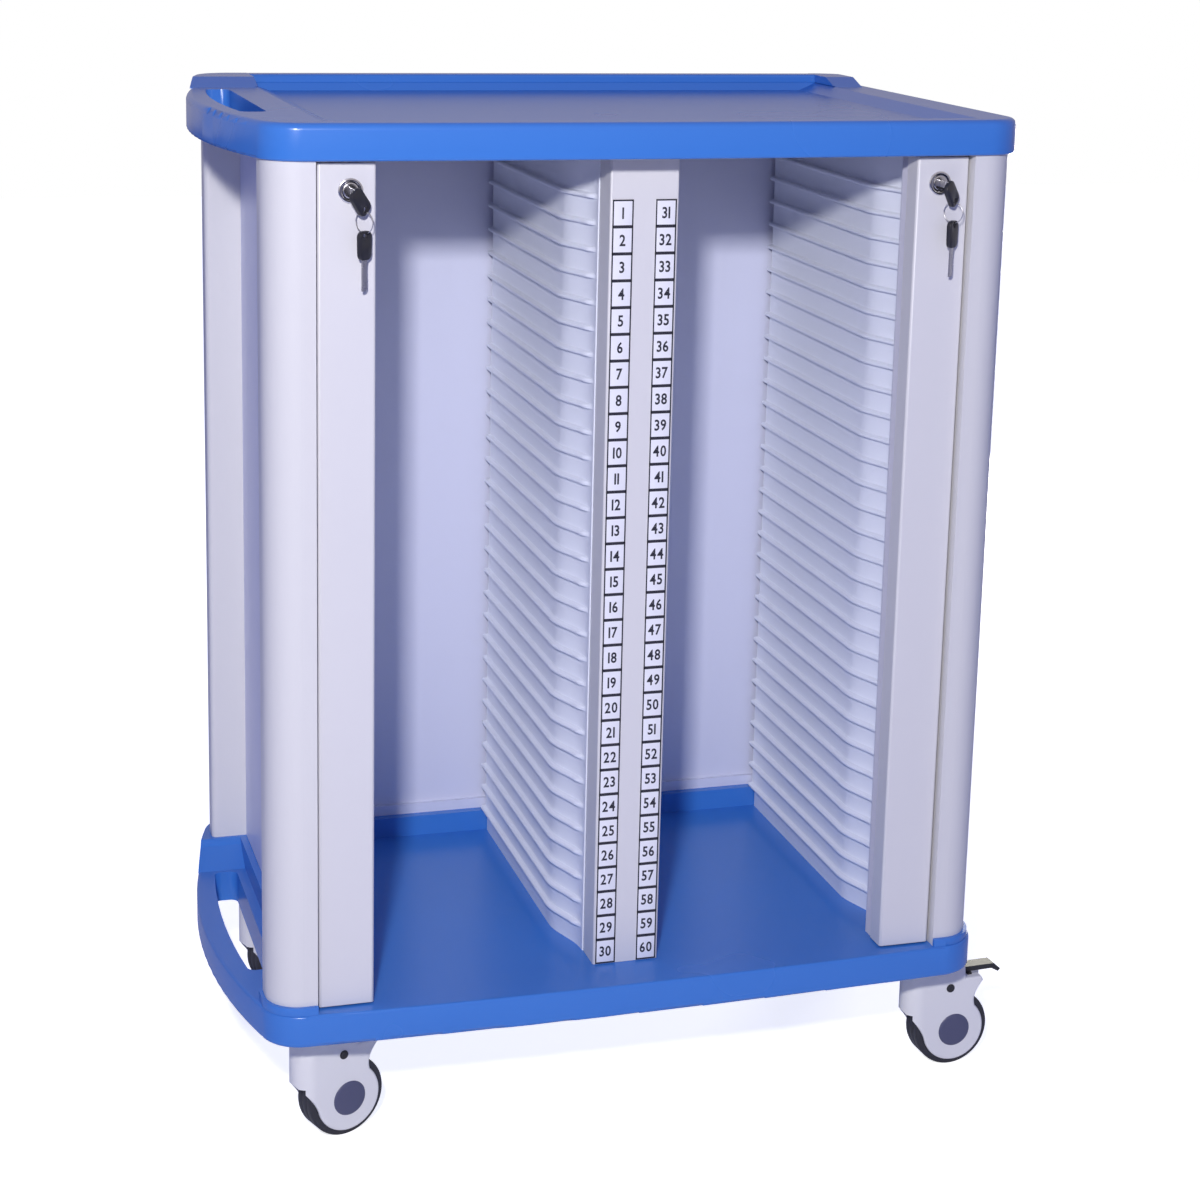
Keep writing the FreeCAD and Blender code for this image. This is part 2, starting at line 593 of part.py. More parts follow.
def door_stile():
    """Hollow leading stile of a sliding shutter, with a tongue in the track."""
    z0, z1 = DECK + DOOR_CLEAR, CEILING - STILE_HEAD
    outer = -STILE_OUT + STILE_CLEAR
    stile = box(outer, -STILE_IN, 0, STILE_DEPTH, z0, z1)
    stile = stile.makeFillet(STILE_EDGE, upright_edges(stile, lambda p: p.y < 1))
    w = STILE_WALL
    stile = stile.cut(box(outer + w, -STILE_IN - w, w, STILE_DEPTH - w, z0, z1 - w))
    head = CEILING + TRACK_HEIGHT - TRACK_WALL - LEAF_CLEAR
    stile = stile.fuse(box(outer, -STILE_IN, TONGUE[0], TONGUE[1], z1 - 1, head))
    x, z = lock_axis()
    return stile.cut(rod(LOCK_BARREL, V(x, -1, z), V(0, 1, 0), STILE_DEPTH + 2))


def leaf_layer(index):
    """Front and back of the layer in which a shutter leaf slides."""
    y = LEAF_FRONT + LEAF_PITCH * index
    return y, y + LEAF_THICK


def shutter_leaf(index):
    """One upright leaf of the shutter, ribbed on its front face."""
    y0, y1 = leaf_layer(index)
    x0 = -STILE_OUT + LEAF_INSET
    z0, z1 = DECK + LEAF_CLEAR, CEILING - LEAF_CLEAR
    leaf = box(x0, x0 + LEAF_WIDTH, y0 + LEAF_RIB, y1, z0, z1)
    step = LEAF_WIDTH / LEAF_RIBS
    half = LEAF_GROOVE / 2
    ribs = [box(x0 + i * step + half, x0 + (i + 1) * step - half, y0, y0 + LEAF_RIB, z0, z1)
            for i in range(LEAF_RIBS)]
    return leaf.fuse(ribs).removeSplitter()


def shutter_guides():
    """Fixed strips behind the leaves, one at each outer side of the mouth."""
    y0 = LEAF_FRONT + LEAF_PITCH * LEAF_COUNT
    y1 = y0 + GUIDE_THICK
    strip = box(-STILE_OUT, -STILE_OUT + LEAF_INSET + LEAF_WIDTH, y0, y1, DECK, CEILING)
    mouth = -BAY_OUTER - FLARE
    web = box(mouth - LINER_WALL, mouth, y1, LINER_FRONT, DECK, LINER_TOP)
    return Part.makeCompound(both_sides(strip.fuse(web).removeSplitter()))


# ---- locks and keys -----------------------------------------------------------------
def lock_axis():
    """Place of the left lock on its stile."""
    return -STILE_OUT + LOCK_OFFSET, CEILING - LOCK_BELOW_CEILING


def lock_body():
    """Flanged barrel set in the stile."""
    x, z = lock_axis()
    radius, thick = LOCK_FLANGE
    body = rod(radius, V(x, -thick, z), V(0, 1, 0), thick)
    body = body.makeFillet(FLANGE_EDGE, [e for e in body.Edges if abs(e.BoundBox.YMax + thick) < 1e-4])
    body = body.fuse(rod(LOCK_BARREL, V(x, 0, z), V(0, 1, 0), STILE_DEPTH + 1))
    return body.cut(rod(PLUG_RADIUS + FIT, V(x, -STILE_DEPTH, z), V(0, 1, 0), 3 * STILE_DEPTH))


def lock_plug(mirror):
    """Turning plug with its keyway, and the cam on its tail as a second solid."""
    x, z = lock_axis()
    length, width, thick = CAM
    start = -LOCK_FLANGE[1] - PLUG_PROUD
    tail = STILE_DEPTH + PLUG_TAIL
    plug = rod(PLUG_RADIUS, V(x, start, z), V(0, 1, 0), tail - start)
    bw, bh = KEY_BLADE
    slot = box(x - bw / 2 - FIT, x + bw / 2 + FIT, start, KEYWAY_DEPTH, z - bh / 2 - FIT, z + bh / 2 + FIT)
    plug = plug.cut(slot)
    cam = box(x - width / 2, x + width / 2, tail, tail + thick, z - length + width / 2, z + width / 2)
    cam = cam.makeFillet(CAM_ROUND, [e for e in cam.Edges if e.BoundBox.YLength > thick - 0.1])
    solids = [plug, cam]
    return Part.makeCompound([mirrored(s) for s in solids] if mirror else solids)


def key_head():
    """Key head in its own frame: ring hole at the origin, head hanging along -z."""
    width, length, thick = KEY_HEAD
    head = box(-width / 2, width / 2, -thick / 2, thick / 2, -length + KEY_ROUND, KEY_ROUND)
    head = head.makeFillet(KEY_ROUND, [e for e in head.Edges if e.BoundBox.YLength > thick - 0.1])
    return head.cut(rod(KEY_HOLE, V(0, -thick, 0), V(0, 1, 0), 2 * thick))


def key_point(lock_x, lock_z):
    """Ring hole of the key in the lock, at the low end of its hanging head."""
    drop = KEY_HEAD[1] - KEY_ROUND - KEY_OVERLAP
    droop, turn = math.radians(KEY_DROOP), math.radians(KEY_TURN)
    along = drop * math.sin(droop)
    return V(lock_x + along * math.cos(turn), -KEY_REACH + along * math.sin(turn),
             lock_z - drop * math.cos(droop))


def door_key(lock_x):
    """Key in the lock: blade into the plug, head folded down beside it."""
    z = lock_axis()[1]
    bw, bh = KEY_BLADE
    blade = box(lock_x - bw / 2, lock_x + bw / 2, -KEY_REACH, KEYWAY_DEPTH - 1, z - bh / 2, z + bh / 2)
    head = key_head()
    head.rotate(V(0, 0, 0), V(0, 1, 0), 180 - KEY_DROOP)
    head.rotate(V(0, 0, 0), UP, KEY_TURN)
    head.translate(key_point(lock_x, z))
    return blade.fuse(head).removeSplitter()


def spare_key(lock_x):
    """Split ring and the spare key that hangs from it, as two solids."""
    z = lock_axis()[1]
    top = key_point(lock_x, z)
    turn = math.radians(KEY_TURN)
    normal = V(math.cos(turn), math.sin(turn), 0)
    hang = RING_RADIUS + KEY_HOLE - RING_WIRE - RING_CLEAR
    centre = top - V(0, 0, hang)
    ring = Part.makeTorus(RING_RADIUS, RING_WIRE, centre, normal)
    head = key_head()
    bw, bh = KEY_BLADE
    foot = KEY_ROUND - KEY_HEAD[1]
    blade = box(-bh / 2, bh / 2, -bw / 2, bw / 2, foot - KEY_BLADE_LENGTH, foot + KEY_OVERLAP)
    key = head.fuse(blade).removeSplitter()
    key.rotate(V(0, 0, 0), UP, KEY_TURN)
    key.translate(centre - V(0, 0, hang))
    return Part.makeCompound([ring, key])


# ---- casters ------------------------------------------------------------------------
def caster_place(corner):
    """Kingpin axis of one caster and the direction in which its wheel trails."""
    end, side = corner.split("_")
    y = CASTER_Y if end == "front" else CABINET_DEPTH - CASTER_Y
    return V(CASTER_X[side], y, 0), SWIVEL[corner]


def placed(shape, corner):
    """Turn a caster piece to its corner's angle and set it under its kingpin."""
    origin, angle = caster_place(corner)
    piece = shape.copy()
    piece.rotate(V(0, 0, 0), UP, angle)
    piece.translate(origin)
    return piece


def shell_outline():
    """Side face of the wheel shell: a round cheek that rises into the swivel head."""
    r = SHELL_RADIUS
    hub = V(TRAIL, 0, WHEEL_RADIUS)

    def on_cheek(degrees):
        angle = math.radians(degrees)
        return hub + V(r * math.cos(angle), 0, r * math.sin(angle))

    heel = V(-SHELL_HEEL, 0, WHEEL_RADIUS + SHELL_SHOULDER)
    nose = V(TRAIL + SHELL_NOSE, 0, WHEEL_RADIUS + SHELL_NOSE_LIFT)
    brow = V(TRAIL + SHELL_BROW - 3, 0, SHELL_TOP)
    low, rise = on_cheek(CHEEK_HEEL), on_cheek(CHEEK_NOSE)
    back = Part.BezierCurve()
    back.setPoles([heel, heel + V(7, 0, -7), low + V(-3, 0, 12), low])
    front = Part.BezierCurve()
    front.setPoles([rise, rise + V(-4, 0, 12), nose - V(8, 0, 10), nose])
    step = V(TRAIL + SHELL_BROW, 0, WHEEL_RADIUS + SHELL_STEP)
    ramp = V(nose.x - 3, 0, step.z)
    curves = [back, Part.Arc(low, on_cheek(-30), rise), front, Part.LineSegment(nose, ramp),
              Part.LineSegment(ramp, step), Part.LineSegment(step, brow),
              Part.LineSegment(brow, V(-SHELL_HEEL, 0, SHELL_TOP)),
              Part.LineSegment(V(-SHELL_HEEL, 0, SHELL_TOP), heel)]
    return Part.Face(Part.Wire([curve.toShape() for curve in curves]))


def caster_shell():
    """Moulded shell over a wheel: two side walls joined above, bored for the kingpin."""
    half = TYRE_WIDTH / 2 + SHELL_GAP
    outline = shell_outline()
    outline.translate(V(0, -half - SHELL_WALL, 0))
    shell = outline.extrude(V(0, 2 * SHELL_HALF, 0))
    rims = [e for e in shell.Edges
            if e.BoundBox.YLength < 1e-4 and e.BoundBox.ZMin < SHELL_TOP - 1]
    shell = shell.makeFillet(SHELL_EDGE, rims)
    slot = rod(WHEEL_RADIUS + SHELL_ARCH, V(TRAIL, -half, WHEEL_RADIUS), V(0, 1, 0), 2 * half)
    foot = box(TRAIL - 2 * WHEEL_RADIUS, TRAIL + 2 * WHEEL_RADIUS, -half, half,
               0, WHEEL_RADIUS + SHELL_OPEN)
    shell = shell.cut([slot, foot])
    round_x = SHELL_HALF - SHELL_HEEL
    plan = rod(SHELL_HALF, V(round_x, 0, 0), UP, SHELL_TOP)
    plan = plan.fuse(box(round_x, TRAIL + 2 * WHEEL_RADIUS, -SHELL_HALF, SHELL_HALF, 0, SHELL_TOP))
    shell = shell.common(plan)
    shell = shell.cut(rod(KINGPIN_RADIUS + FIT, V(0, 0, KINGPIN_FOOT - 2), UP, SHELL_TOP))
    shell = shell.cut(rod(AXLE_RADIUS, V(TRAIL, -SHELL_HALF, WHEEL_RADIUS), V(0, 1, 0), 2 * SHELL_HALF))
    seat = pedal_block(PEDAL_CLEAR)
    shell = shell.cut(seat)
    return shell.removeSplitter().Solids[0]


def pedal_axis():
    """Pedal pin in the caster's own frame."""
    return V(TRAIL + PEDAL_REACH, 0, WHEEL_RADIUS + PEDAL_RISE)


def pedal_block(clear):
    """Space of the pedal's root inside the shell, and the bores of its pin."""
    p = pedal_axis()
    half = PEDAL[1] / 2 + clear
    root = PEDAL_ROOT + clear
    block = box(p.x - root - 1, p.x + PEDAL[0], -half, half, p.z - root, p.z + 4 * root)
    reach = PEDAL[1] / 2 + PIN_SEAT + clear
    return block.fuse(rod(PEDAL_PIN + FIT, V(p.x, -reach, p.z), V(0, 1, 0), 2 * reach))


def brake_pedal():
    """Foot pedal of a braked caster, hinged on a pin across the shell's nose."""
    length, width, thick = PEDAL
    p = pedal_axis()
    half = width / 2
    x0, z0 = p.x - PEDAL_ROOT, p.z + PEDAL_ROOT - 1
    x1, z1 = x0 + length, z0 + thick
    bend, drop = PEDAL_TIP
    edge = thick / 2
    side = [(x0, z0), (x1 - bend, z0), (x1 - edge, z0 - drop), (x1, z0 - drop + edge),
            (x1 - bend + edge, z1), (x0, z1)]
    wire = Part.makePolygon([V(x, -half, z) for x, z in side + side[:1]])
    pad = Part.Face(wire).extrude(V(0, width, 0))
    root = rod(PEDAL_ROOT, V(p.x, -half, p.z), V(0, 1, 0), width)
    pin = rod(PEDAL_PIN, V(p.x, -half - PIN_SEAT, p.z), V(0, 1, 0), width + 2 * PIN_SEAT)
    return pad.fuse([root, pin]).removeSplitter()


def caster_axle():
    """Axle through the shell with a broad cap on each side."""
    radius, thick = HUB_CAP
    half = SHELL_HALF
    start = V(TRAIL, -half, WHEEL_RADIUS)
    axle = rod(AXLE_RADIUS, start, V(0, 1, 0), 2 * half)
    caps = [rod(radius, V(TRAIL, y, WHEEL_RADIUS), V(0, 1, 0), thick)
            for y in (-half - thick, half)]
    return axle.fuse(caps).removeSplitter()


def caster_wheel():
    """Wheel core that turns on the axle."""
    core = rod(CORE_RADIUS, V(TRAIL, -TYRE_WIDTH / 2, WHEEL_RADIUS), V(0, 1, 0), TYRE_WIDTH)
    return core.cut(rod(AXLE_RADIUS + FIT, V(TRAIL, -TYRE_WIDTH, WHEEL_RADIUS), V(0, 1, 0), 2 * TYRE_WIDTH))


def caster_tyre():
    """Soft tread round the wheel core, crowned at its edges."""
    tyre = rod(WHEEL_RADIUS, V(TRAIL, -TYRE_WIDTH / 2, WHEEL_RADIUS), V(0, 1, 0), TYRE_WIDTH)
    tyre = tyre.makeFillet(TYRE_CROWN, [e for e in tyre.Edges if e.BoundBox.YLength < 1e-4])
    return tyre.cut(rod(CORE_RADIUS, V(TRAIL, -TYRE_WIDTH, WHEEL_RADIUS), V(0, 1, 0), 2 * TYRE_WIDTH))


def caster_stem():
    """Kingpin hanging from its fixing plate."""
    size, thick = CASTER_PLATE
    z1 = DECK - DECK_THICK - FRAME_TUBE
    plate = box(-size / 2, size / 2, -size / 2, size / 2, z1 - thick, z1)
    plate = plate.makeFillet(PLATE_CORNER, upright_edges(plate, lambda p: True))
    pin = rod(KINGPIN_RADIUS, V(0, 0, KINGPIN_FOOT), UP, z1 - KINGPIN_FOOT - 1)
    low = SHELL_TOP + SWIVEL_GAP
    race = rod(SWIVEL_COLLAR, V(0, 0, low), UP, z1 - thick - low)
    return plate.fuse([pin, race]).removeSplitter()


def caster_stems():
    """The four kingpins, square to the frame."""
    stems = []
    for corner in SWIVEL:
        stem = caster_stem()
        stem.translate(caster_place(corner)[0])
        stems.append(stem)
    return Part.makeCompound(stems)


# ---- build --------------------------------------------------------------------------
def build_cabinet():
    """Everything that stays with the cabinet."""
    save("base_tray", base_tray())
    save("top_tray", top_tray())
    save("base_frame", base_frame())
    save("ceiling_plate", ceiling_plate())
    save("back_panel", back_panel())
    save("back_rails", back_rails())
    save("column_screws", column_screws())
    save("divider_frame", divider_frame())
    save("label_cards", label_cards())
    save("door_track", door_track())
    save("shutter_guides", shutter_guides())
    pieces = {
        "column_front": column(FRONT_COLUMN, DECK),
        "column_rear": column(REAR_COLUMN, SHELF),
        "side_panel": side_panel(),
        "outer_liner": liner(-BAY_OUTER, 1),
        "divider_liner": liner(-DIVIDER_HALF, -1),
    }
    for name, left in pieces.items():
        save(name + "_left", left)
        save(name + "_right", mirrored(left))


def build_doors():
    """Stiles, leaves, locks and keys on both sides."""
    stile, body = door_stile(), lock_body()
    left_x = lock_axis()[0]
    for side, lock_x in (("left", left_x), ("right", -left_x)):
        flip = side == "right"
        save("door_stile_" + side, mirrored(stile) if flip else stile)
        save("lock_body_" + side, mirrored(body) if flip else body)
        save("lock_plug_" + side, lock_plug(flip))
        save("door_key_" + side, door_key(lock_x))
        save("spare_key_" + side, spare_key(lock_x))
        for index in range(LEAF_COUNT):
            leaf = shutter_leaf(index)
            name = "shutter_leaf_%s_%d" % (side, index + 1)
            save(name, mirrored(leaf) if flip else leaf)


def build_casters():
    """Four swivel casters, two of them with a brake pedal."""
    save("caster_stems", caster_stems())
    pieces = {"caster_shell": caster_shell(), "caster_axle": caster_axle(),
              "caster_wheel": caster_wheel(), "caster_tyre": caster_tyre()}
    for corner in SWIVEL:
        for name, piece in pieces.items():
            save(name + "_" + corner, placed(piece, corner))
        if corner in BRAKED:
            save("brake_pedal_" + corner, placed(brake_pedal(), corner))


def model_box():
    """Box round everything that reaches furthest out."""
    outer = [rim_block(BASE_BOTTOM, DECK)]
    outer += [placed(brake_pedal(), corner) for corner in BRAKED]
    outer += [placed(caster_tyre(), corner) for corner in SWIVEL]
    outer.append(door_key(lock_axis()[0]))
    return Part.makeCompound(outer).optimalBoundingBox(False, False)


os.makedirs(OUT, exist_ok=True)
LIMITS = model_box()
SHIFT = V(-(LIMITS.XMin + LIMITS.XMax) / 2, -(LIMITS.YMin + LIMITS.YMax) / 2, 0)
build_cabinet()
build_doors()
build_casters()
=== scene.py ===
"""Looks of the medical chart rack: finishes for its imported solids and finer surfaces
for its liners, labels, locks, keys and casters.  Sizes are in millimetres of the cabinet's
own axes, and place() turns them into metres.  Lamps, floor and glow are in metres."""
import math
import bmesh
import bpy
import numpy as np
from mathutils import Matrix, Vector


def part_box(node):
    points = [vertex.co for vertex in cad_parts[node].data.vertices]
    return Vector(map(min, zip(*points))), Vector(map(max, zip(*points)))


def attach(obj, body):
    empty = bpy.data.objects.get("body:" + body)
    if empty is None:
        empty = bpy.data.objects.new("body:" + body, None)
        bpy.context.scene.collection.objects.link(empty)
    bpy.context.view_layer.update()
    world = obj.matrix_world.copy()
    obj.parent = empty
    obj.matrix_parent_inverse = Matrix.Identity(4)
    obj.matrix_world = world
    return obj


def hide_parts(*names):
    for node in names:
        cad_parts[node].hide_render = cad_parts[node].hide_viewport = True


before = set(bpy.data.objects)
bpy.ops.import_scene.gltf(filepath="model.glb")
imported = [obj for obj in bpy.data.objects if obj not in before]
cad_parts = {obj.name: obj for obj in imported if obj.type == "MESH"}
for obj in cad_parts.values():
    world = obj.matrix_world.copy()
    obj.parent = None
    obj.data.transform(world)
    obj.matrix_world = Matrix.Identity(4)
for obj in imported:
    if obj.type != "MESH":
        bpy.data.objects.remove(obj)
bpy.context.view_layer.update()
MM = 0.001
# near lower corner of the front left column, in cabinet millimetres: x from the centre
# plane, y from the stile face and z from the floor
COLUMN_CORNER = (-398.0, -9.0, 178.0)
SHIFT = Vector(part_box("column_front_left")[0]) - Vector(COLUMN_CORNER) * MM

# ---- sizes shared by several pieces, in millimetres ---------------------------------
DECK, UPSTAND_TOP = 178.0, 203.0
PITCH, SLOTS = 28.0, 30
LABEL_LOW = DECK + 1.0      # foot of the lowest label
LINER_TOP = 1061.0


def place(points):
    """Cabinet millimetres to metres of the shared frame: p * 0.001 + shift."""
    return np.asarray(points, float) * MM + np.array(SHIFT)


# ---- node groups --------------------------------------------------------------------
def new_group(name, inputs, outputs):
    """Empty shader group with the given sockets: (name, type, default)."""
    group = bpy.data.node_groups.new(name, "ShaderNodeTree")
    for title, kind, default in inputs:
        socket = group.interface.new_socket(name=title, in_out="INPUT", socket_type=kind)
        if default is not None:
            socket.default_value = default
    for title, kind in outputs:
        group.interface.new_socket(name=title, in_out="OUTPUT", socket_type=kind)
    return group, group.nodes.new("NodeGroupInput"), group.nodes.new("NodeGroupOutput")


def node(tree, kind, values=None, **settings):
    """One node with its settings and unlinked input values."""
    made = tree.nodes.new(kind)
    for key, value in settings.items():
        setattr(made, key, value)
    for key, value in (values or {}).items():
        made.inputs[key].default_value = value
    return made


def moulded_skin_group():
    """Moulded plastic: fine pebble, faint sink marks and a slow drift of tone.

    colour = base * (1 + drift * noise), height = pebble noise + broad waviness."""
    group, given, put = new_group("moulded_skin", [
        ("Colour", "NodeSocketColor", (0.5, 0.5, 0.5, 1)), ("Drift", "NodeSocketFloat", 0.06),
        ("Pebble size", "NodeSocketFloat", 900.0), ("Pebble", "NodeSocketFloat", 0.25),
        ("Roughness", "NodeSocketFloat", 0.35)],
        [("Colour", "NodeSocketColor"), ("Roughness", "NodeSocketFloat"), ("Height", "NodeSocketFloat")])
    link = group.links.new
    where = node(group, "ShaderNodeTexCoord")
    broad = node(group, "ShaderNodeTexNoise", {"Scale": 5.0, "Detail": 2.0})
    fine = node(group, "ShaderNodeTexNoise", {"Detail": 1.0})
    wave = node(group, "ShaderNodeTexNoise", {"Scale": 14.0, "Detail": 1.0})
    for noise in (broad, fine, wave):
        link(where.outputs["Object"], noise.inputs["Vector"])
    link(given.outputs["Pebble size"], fine.inputs["Scale"])
    shade = node(group, "ShaderNodeMath", {1: 0.5}, operation="SUBTRACT")
    link(broad.outputs[0], shade.inputs[0])
    gain = node(group, "ShaderNodeMath", operation="MULTIPLY")
    link(shade.outputs[0], gain.inputs[0])
    link(given.outputs["Drift"], gain.inputs[1])
    lift = node(group, "ShaderNodeMath", {1: 1.0}, operation="ADD")
    link(gain.outputs[0], lift.inputs[0])
    tint = node(group, "ShaderNodeVectorMath", operation="SCALE")
    link(given.outputs["Colour"], tint.inputs[0])
    link(lift.outputs[0], tint.inputs["Scale"])
    link(tint.outputs[0], put.inputs["Colour"])
    rough = node(group, "ShaderNodeMath", {1: 0.5}, operation="MULTIPLY_ADD")
    link(gain.outputs[0], rough.inputs[0])
    link(given.outputs["Roughness"], rough.inputs[2])
    link(rough.outputs[0], put.inputs["Roughness"])
    grain = node(group, "ShaderNodeMath", operation="MULTIPLY")
    link(fine.outputs[0], grain.inputs[0])
    link(given.outputs["Pebble"], grain.inputs[1])
    both = node(group, "ShaderNodeMath", {1: 1.6}, operation="MULTIPLY_ADD")
    link(wave.outputs[0], both.inputs[0])
    link(grain.outputs[0], both.inputs[2])
    link(both.outputs[0], put.inputs["Height"])
    return group


def powder_coat_group():
    """Powder coat: orange-peel cells and a slight drift of tone.

    height = smooth Voronoi distance * peel, colour = base * (1 + drift * noise)."""
    group, given, put = new_group("powder_coat", [
        ("Colour", "NodeSocketColor", (0.8, 0.8, 0.8, 1)), ("Drift", "NodeSocketFloat", 0.03),
        ("Peel size", "NodeSocketFloat", 420.0), ("Peel", "NodeSocketFloat", 0.4)],
        [("Colour", "NodeSocketColor"), ("Height", "NodeSocketFloat")])
    link = group.links.new
    where = node(group, "ShaderNodeTexCoord")
    cells = node(group, "ShaderNodeTexVoronoi", feature="SMOOTH_F1")
    broad = node(group, "ShaderNodeTexNoise", {"Scale": 3.5, "Detail": 2.0})
    link(where.outputs["Object"], cells.inputs["Vector"])
    link(where.outputs["Object"], broad.inputs["Vector"])
    link(given.outputs["Peel size"], cells.inputs["Scale"])
    shade = node(group, "ShaderNodeMath", {1: 0.5}, operation="SUBTRACT")
    link(broad.outputs[0], shade.inputs[0])
    gain = node(group, "ShaderNodeMath", {2: 1.0}, operation="MULTIPLY_ADD")
    link(shade.outputs[0], gain.inputs[0])
    link(given.outputs["Drift"], gain.inputs[1])
    tint = node(group, "ShaderNodeVectorMath", operation="SCALE")
    link(given.outputs["Colour"], tint.inputs[0])
    link(gain.outputs[0], tint.inputs["Scale"])
    link(tint.outputs[0], put.inputs["Colour"])
    peel = node(group, "ShaderNodeMath", operation="MULTIPLY")
    link(cells.outputs["Distance"], peel.inputs[0])
    link(given.outputs["Peel"], peel.inputs[1])
    link(peel.outputs[0], put.inputs["Height"])
    return group


def handled_metal_group():
    """Handled metal: fine scratches along one axis and smudges in its gloss."""
    group, given, put = new_group("handled_metal", [
        ("Colour", "NodeSocketColor", (0.6, 0.6, 0.6, 1)), ("Roughness", "NodeSocketFloat", 0.2),
        ("Smudge", "NodeSocketFloat", 0.12), ("Scratch", "NodeSocketFloat", 0.2),
        ("Grain", "NodeSocketVector", (300.0, 300.0, 3000.0))],
        [("Colour", "NodeSocketColor"), ("Roughness", "NodeSocketFloat"), ("Height", "NodeSocketFloat")])
    link = group.links.new
    where = node(group, "ShaderNodeTexCoord")
    stretch = node(group, "ShaderNodeVectorMath", operation="MULTIPLY")
    link(where.outputs["Object"], stretch.inputs[0])
    link(given.outputs["Grain"], stretch.inputs[1])
    lines = node(group, "ShaderNodeTexNoise", {"Scale": 1.0, "Detail": 3.0})
    link(stretch.outputs[0], lines.inputs["Vector"])
    spots = node(group, "ShaderNodeTexNoise", {"Scale": 120.0, "Detail": 2.0})
    link(where.outputs["Object"], spots.inputs["Vector"])
    rough = node(group, "ShaderNodeMath", operation="MULTIPLY_ADD")
    link(spots.outputs[0], rough.inputs[0])
    link(given.outputs["Smudge"], rough.inputs[1])
    link(given.outputs["Roughness"], rough.inputs[2])
    link(rough.outputs[0], put.inputs["Roughness"])
    link(given.outputs["Colour"], put.inputs["Colour"])
    cut = node(group, "ShaderNodeMath", operation="MULTIPLY")
    link(lines.outputs[0], cut.inputs[0])
    link(given.outputs["Scratch"], cut.inputs[1])
    link(cut.outputs[0], put.inputs["Height"])
    return group


# ---- materials ----------------------------------------------------------------------
GROUPS = {"moulded": moulded_skin_group(), "coat": powder_coat_group(),
          "metal": handled_metal_group()}


# relief of each finish: (strength, height in metres)
SKIN_RELIEF, COAT_RELIEF, METAL_RELIEF = (0.25, 0.0006), (0.2, 0.0004), (0.15, 0.0003)


def finish_from(name, group_name, values, shader, relief):
    """Principled material fed by one of the groups, with a bump from its height."""
    made = bpy.data.materials.new(name)
    made.use_nodes = True
    tree = made.node_tree
    surface = tree.nodes["Principled BSDF"]
    for key, value in shader.items():
        surface.inputs[key].default_value = value
    group = node(tree, "ShaderNodeGroup", node_tree=GROUPS[group_name])
    for key, value in values.items():
        group.inputs[key].default_value = value
    link = tree.links.new
    link(group.outputs["Colour"], surface.inputs["Base Color"])
    if "Roughness" in group.outputs:
        link(group.outputs["Roughness"], surface.inputs["Roughness"])
    strength, distance = relief
    bump = node(tree, "ShaderNodeBump", {"Strength": strength, "Distance": distance})
    link(group.outputs["Height"], bump.inputs["Height"])
    link(bump.outputs["Normal"], surface.inputs["Normal"])
    return made


def moulded(name, colour, rough, drift=0.06, pebble=0.25, size=900.0):
    """Moulded plastic of one colour."""
    return finish_from(name, "moulded", {
        "Colour": (*colour, 1), "Drift": drift, "Pebble": pebble, "Pebble size": size,
        "Roughness": rough}, {}, SKIN_RELIEF)


def coated(name, colour, rough):
    """Powder-coated sheet or extrusion."""
    return finish_from(name, "coat", {"Colour": (*colour, 1)}, {"Roughness": rough}, COAT_RELIEF)


def metal(name, colour, rough):
    """Bare or plated metal."""
    return finish_from(name, "metal", {
        "Colour": (*colour, 1), "Roughness": rough}, {"Metallic": 1.0}, METAL_RELIEF)


BLUE = moulded("cabinet_blue", (0.046, 0.20, 0.62), 0.27, drift=0.05)
COLUMN = coated("column_white", (0.73, 0.72, 0.71), 0.34)
STILE = coated("stile_white", (0.72, 0.71, 0.715), 0.36)
PANEL = coated("panel_white", (0.68, 0.70, 0.85), 0.4)
LINER = moulded("liner_grey", (0.84, 0.87, 0.95), 0.42, drift=0.04, pebble=0.2)
SHUTTER = moulded("shutter_grey", (0.62, 0.62, 0.72), 0.45)
CARD = moulded("card_white", (0.86, 0.86, 0.90), 0.5, drift=0.02)
INK = moulded("ink_black", (0.018, 0.018, 0.03), 0.45, drift=0.02)
CHROME = metal("lock_chrome", (0.62, 0.62, 0.66), 0.1)
STEEL = metal("key_steel", (0.55, 0.55, 0.58), 0.22)
ZINC = metal("zinc_steel", (0.5, 0.5, 0.53), 0.35)
FRAME = coated("frame_paint", (0.35, 0.35, 0.4), 0.5)
KEY_BLACK = moulded("key_black", (0.02, 0.02, 0.026), 0.33)
SHELL = moulded("caster_shell", (0.84, 0.83, 0.80), 0.3, drift=0.03)
CAP = moulded("hub_cap", (0.085, 0.09, 0.16), 0.38)
CORE = moulded("wheel_core", (0.2, 0.2, 0.22), 0.45)
TYRE = moulded("tyre_rubber", (0.026, 0.026, 0.034), 0.55, pebble=0.8, size=1400.0)
PEDAL = moulded("pedal_black", (0.02, 0.02, 0.022), 0.3)
ROOT = moulded("pedal_root_grey", (0.34, 0.35, 0.40), 0.4)

